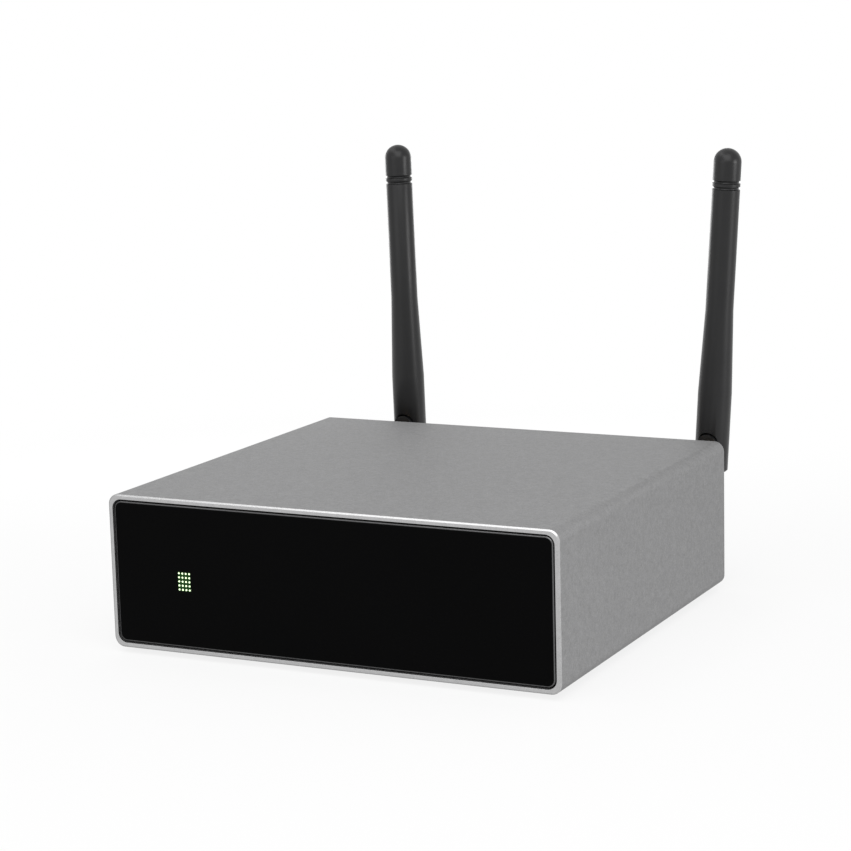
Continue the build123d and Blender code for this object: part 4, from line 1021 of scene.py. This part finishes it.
# Each finish and the CAD nodes that take it
WORN = {
    "Gold Plate": (
        "speaker_posts", "speaker_nuts", "line_jack_barrels", "antenna_jacks", "antenna_jack_nuts",
        *(f"speaker_bush_{i}" for i in POSTS),
        *(f"antenna_{side}_{part}" for side in SIDES for part in ("plug", "element")),
    ),
    "Nickel Plate": (
        "case_screws", "display_screws", "heat_sink_screws", "module_shield", "usb_jack", "ethernet_jack",
        "speaker_tabs", *(f"antenna_{side}_hinge_pin" for side in SIDES),
    ),
    "Moulded Black Plastic": (
        "speaker_collars", "speaker_insulators", "line_jack_bodies", "trigger_jack", "setup_switch",
        "power_jack", "antenna_leads",
    ),
    "Black Anodised Panel": ("rear_panel",),
    "Solder Mask": ("display_board", "main_board"),
    "Foam Tape": ("panel_tape",),
    "Filled Moulding": ("front_carrier", "module_headers", "amplifier_chip"),
    "Cream Nylon": ("ribbon_sockets",),
    "Flat Cable": ("ribbon_cable",),
    "Ferrite": ("output_inductors",),
    "Film Capacitor": ("film_capacitors",),
    "Capacitor Sleeve": ("bulk_capacitors",),
    "Black Heat Sink": ("heat_sink",),
    "Module Board": ("streaming_module",),
    "White Insulator": ("line_jack_inserts",),
    "Light Chip": ("display_leds",),
    "Button Plastic": ("setup_button",),
}


class AMPLIFIER_OT_finishes(Operator):
    """Give every CAD node that shows, or that lies inside, its finish"""

    bl_idname = "amplifier.finishes"
    bl_label = "Finishes of Other Parts"

    def execute(self, context):
        for name, nodes in WORN.items():
            for node in nodes:
                dress(node, name)
        return {"FINISHED"}


# Studio


# Each lamp: its name, its place, where it points, its width and height, and its watts
LAMPS = (
    ("key_light", (0.25, -0.45, 0.65), (0, 0.05, 0.1), (0.7, 0.7), 3.2),
    ("front_light", (-0.5, -1.5, 0.4), (0, 0, 0.03), (1.0, 0.6), 2),
    ("right_light", (1.3, 0.0, 0.2), (0, 0, 0.03), (0.5, 0.35), 5),
    ("overhead_light", (-0.4, -0.25, 1.0), (0, 0, 0.03), (1.2, 0.4), 2.2),
    ("rear_light", (-0.18, 0.32, 0.13), (0, 0.05, 0.05), (0.5, 0.1), 0.4),
)


def area_light(name, place, target, size, watts):
    clear_selection()
    bpy.ops.object.light_add(type="AREA", location=place)
    lamp = bpy.context.object
    lamp.name = name
    lamp.data.shape = "RECTANGLE"
    lamp.data.size, lamp.data.size_y = size
    lamp.data.energy = watts
    towards = Vector(target) - Vector(place)
    lamp.rotation_euler = towards.to_track_quat("-Z", "Y").to_euler()


def seen_directly(tree):
    """One for camera, glossy and transmission rays and zero for the rest."""
    path = tree.nodes.new("ShaderNodeLightPath").outputs
    either = math_node(tree, "MAXIMUM", path["Is Camera Ray"], path["Is Glossy Ray"])
    return math_node(tree, "MAXIMUM", either, path["Is Transmission Ray"])


class AMPLIFIER_OT_studio(Operator):
    """Set up the camera, the pale floor, the soft lights and the white background"""

    bl_idname = "amplifier.studio"
    bl_label = "Studio"

    def execute(self, context):
        studio = settings().studio
        self.place_camera(context, studio)
        self.lay_floor(studio)
        for lamp in LAMPS:
            area_light(*lamp)
        self.paint_background(context, studio)
        context.scene.view_settings.view_transform = "Standard"
        return {"FINISHED"}

    def place_camera(self, context, studio):
        clear_selection()
        bpy.ops.object.camera_add(location=studio.camera_place)
        camera = context.object
        camera.data.lens = studio.lens
        camera.data.sensor_width = 36
        camera.data.sensor_fit = "HORIZONTAL"
        turn = (
            Matrix.Rotation(studio.azimuth, 3, "Z")
            @ Matrix.Rotation(math.pi / 2 - studio.elevation, 3, "X")
            @ Matrix.Rotation(studio.roll, 3, "Z")
        )
        camera.rotation_euler = turn.to_euler()
        context.scene.camera = camera

    def lay_floor(self, studio):
        clear_selection()
        bpy.ops.mesh.primitive_plane_add(size=studio.floor_size, location=(0, 0, 0))
        floor = bpy.context.object
        floor.name = "studio_floor"
        material, tree, shader = new_material("Pale Floor")
        feed(tree, shader, {"Base Color": (0.9, 0.9, 0.9, 1), "Roughness": 0.9, "Specular IOR Level": 0.0})
        white = add_node(tree, "ShaderNodeEmission", {"Color": (1, 1, 1, 1)})
        away = add_node(tree, "ShaderNodeVectorMath", {0: object_place(tree)}, operation="LENGTH")
        near, far = studio.shade_start, studio.shade_end
        fade = ramp_node(tree, away.outputs["Value"], near, far, 1 - studio.shade, smoothed=True)
        blend = add_node(tree, "ShaderNodeMixShader", {
            "Fac": math_node(tree, "MULTIPLY", seen_directly(tree), fade),
            1: shader.outputs["BSDF"], 2: white.outputs["Emission"],
        })
        feed(tree, tree.nodes["Material Output"], {"Surface": blend.outputs["Shader"]})
        floor.data.materials.append(material)

    def paint_background(self, context, studio):
        world = bpy.data.worlds.new("Studio White")
        context.scene.world = world
        world.use_nodes = True
        tree = world.node_tree
        extra = math_node(tree, "MULTIPLY", seen_directly(tree), 1 - studio.ambient)
        strength = math_node(tree, "ADD", extra, studio.ambient)
        feed(tree, tree.nodes["Background"], {"Color": (1, 1, 1, 1), "Strength": strength})


class AMPLIFIER_PT_panel(Panel):
    """Lists the amplifier's steps and the sizes that a user would change"""

    bl_label = "Streaming Amplifier"
    bl_idname = "AMPLIFIER_PT_panel"
    bl_space_type = "VIEW_3D"
    bl_region_type = "UI"
    bl_category = "Amplifier"

    def draw(self, context):
        for operator in OPERATORS:
            self.layout.operator(operator.bl_idname)
        for group in ("case", "grid", "knob", "mark", "antenna", "finish", "studio"):
            box = self.layout.box()
            box.label(text=group.capitalize())
            values = getattr(context.scene.amplifier, group)
            for key in values.__annotations__:
                box.prop(values, key, text=key.replace("_", " ").title())


GROUPS = (
    CaseSizes, LightGridSizes, KnobSizes, MarkSizes, AntennaSizes, FinishColours, StudioSettings,
    AmplifierSettings,
)
OPERATORS = (
    AMPLIFIER_OT_sleeve,
    AMPLIFIER_OT_front,
    AMPLIFIER_OT_feet,
    AMPLIFIER_OT_knobs,
    AMPLIFIER_OT_markings,
    AMPLIFIER_OT_antennas,
    AMPLIFIER_OT_finishes,
    AMPLIFIER_OT_studio,
)
CLASSES = (*GROUPS, *OPERATORS, AMPLIFIER_PT_panel)


def register():
    for item in CLASSES:
        bpy.utils.register_class(item)
    bpy.types.Scene.amplifier = PointerProperty(type=AmplifierSettings)


def unregister():
    del bpy.types.Scene.amplifier
    for item in reversed(CLASSES):
        bpy.utils.unregister_class(item)


def main():
    register()
    bpy.ops.amplifier.studio()
    bpy.ops.amplifier.sleeve()
    bpy.ops.amplifier.front()
    bpy.ops.amplifier.feet()
    bpy.ops.amplifier.knobs()
    bpy.ops.amplifier.markings()
    bpy.ops.amplifier.antennas()
    bpy.ops.amplifier.finishes()
    clear_selection()


if __name__ == "__main__":
    main()
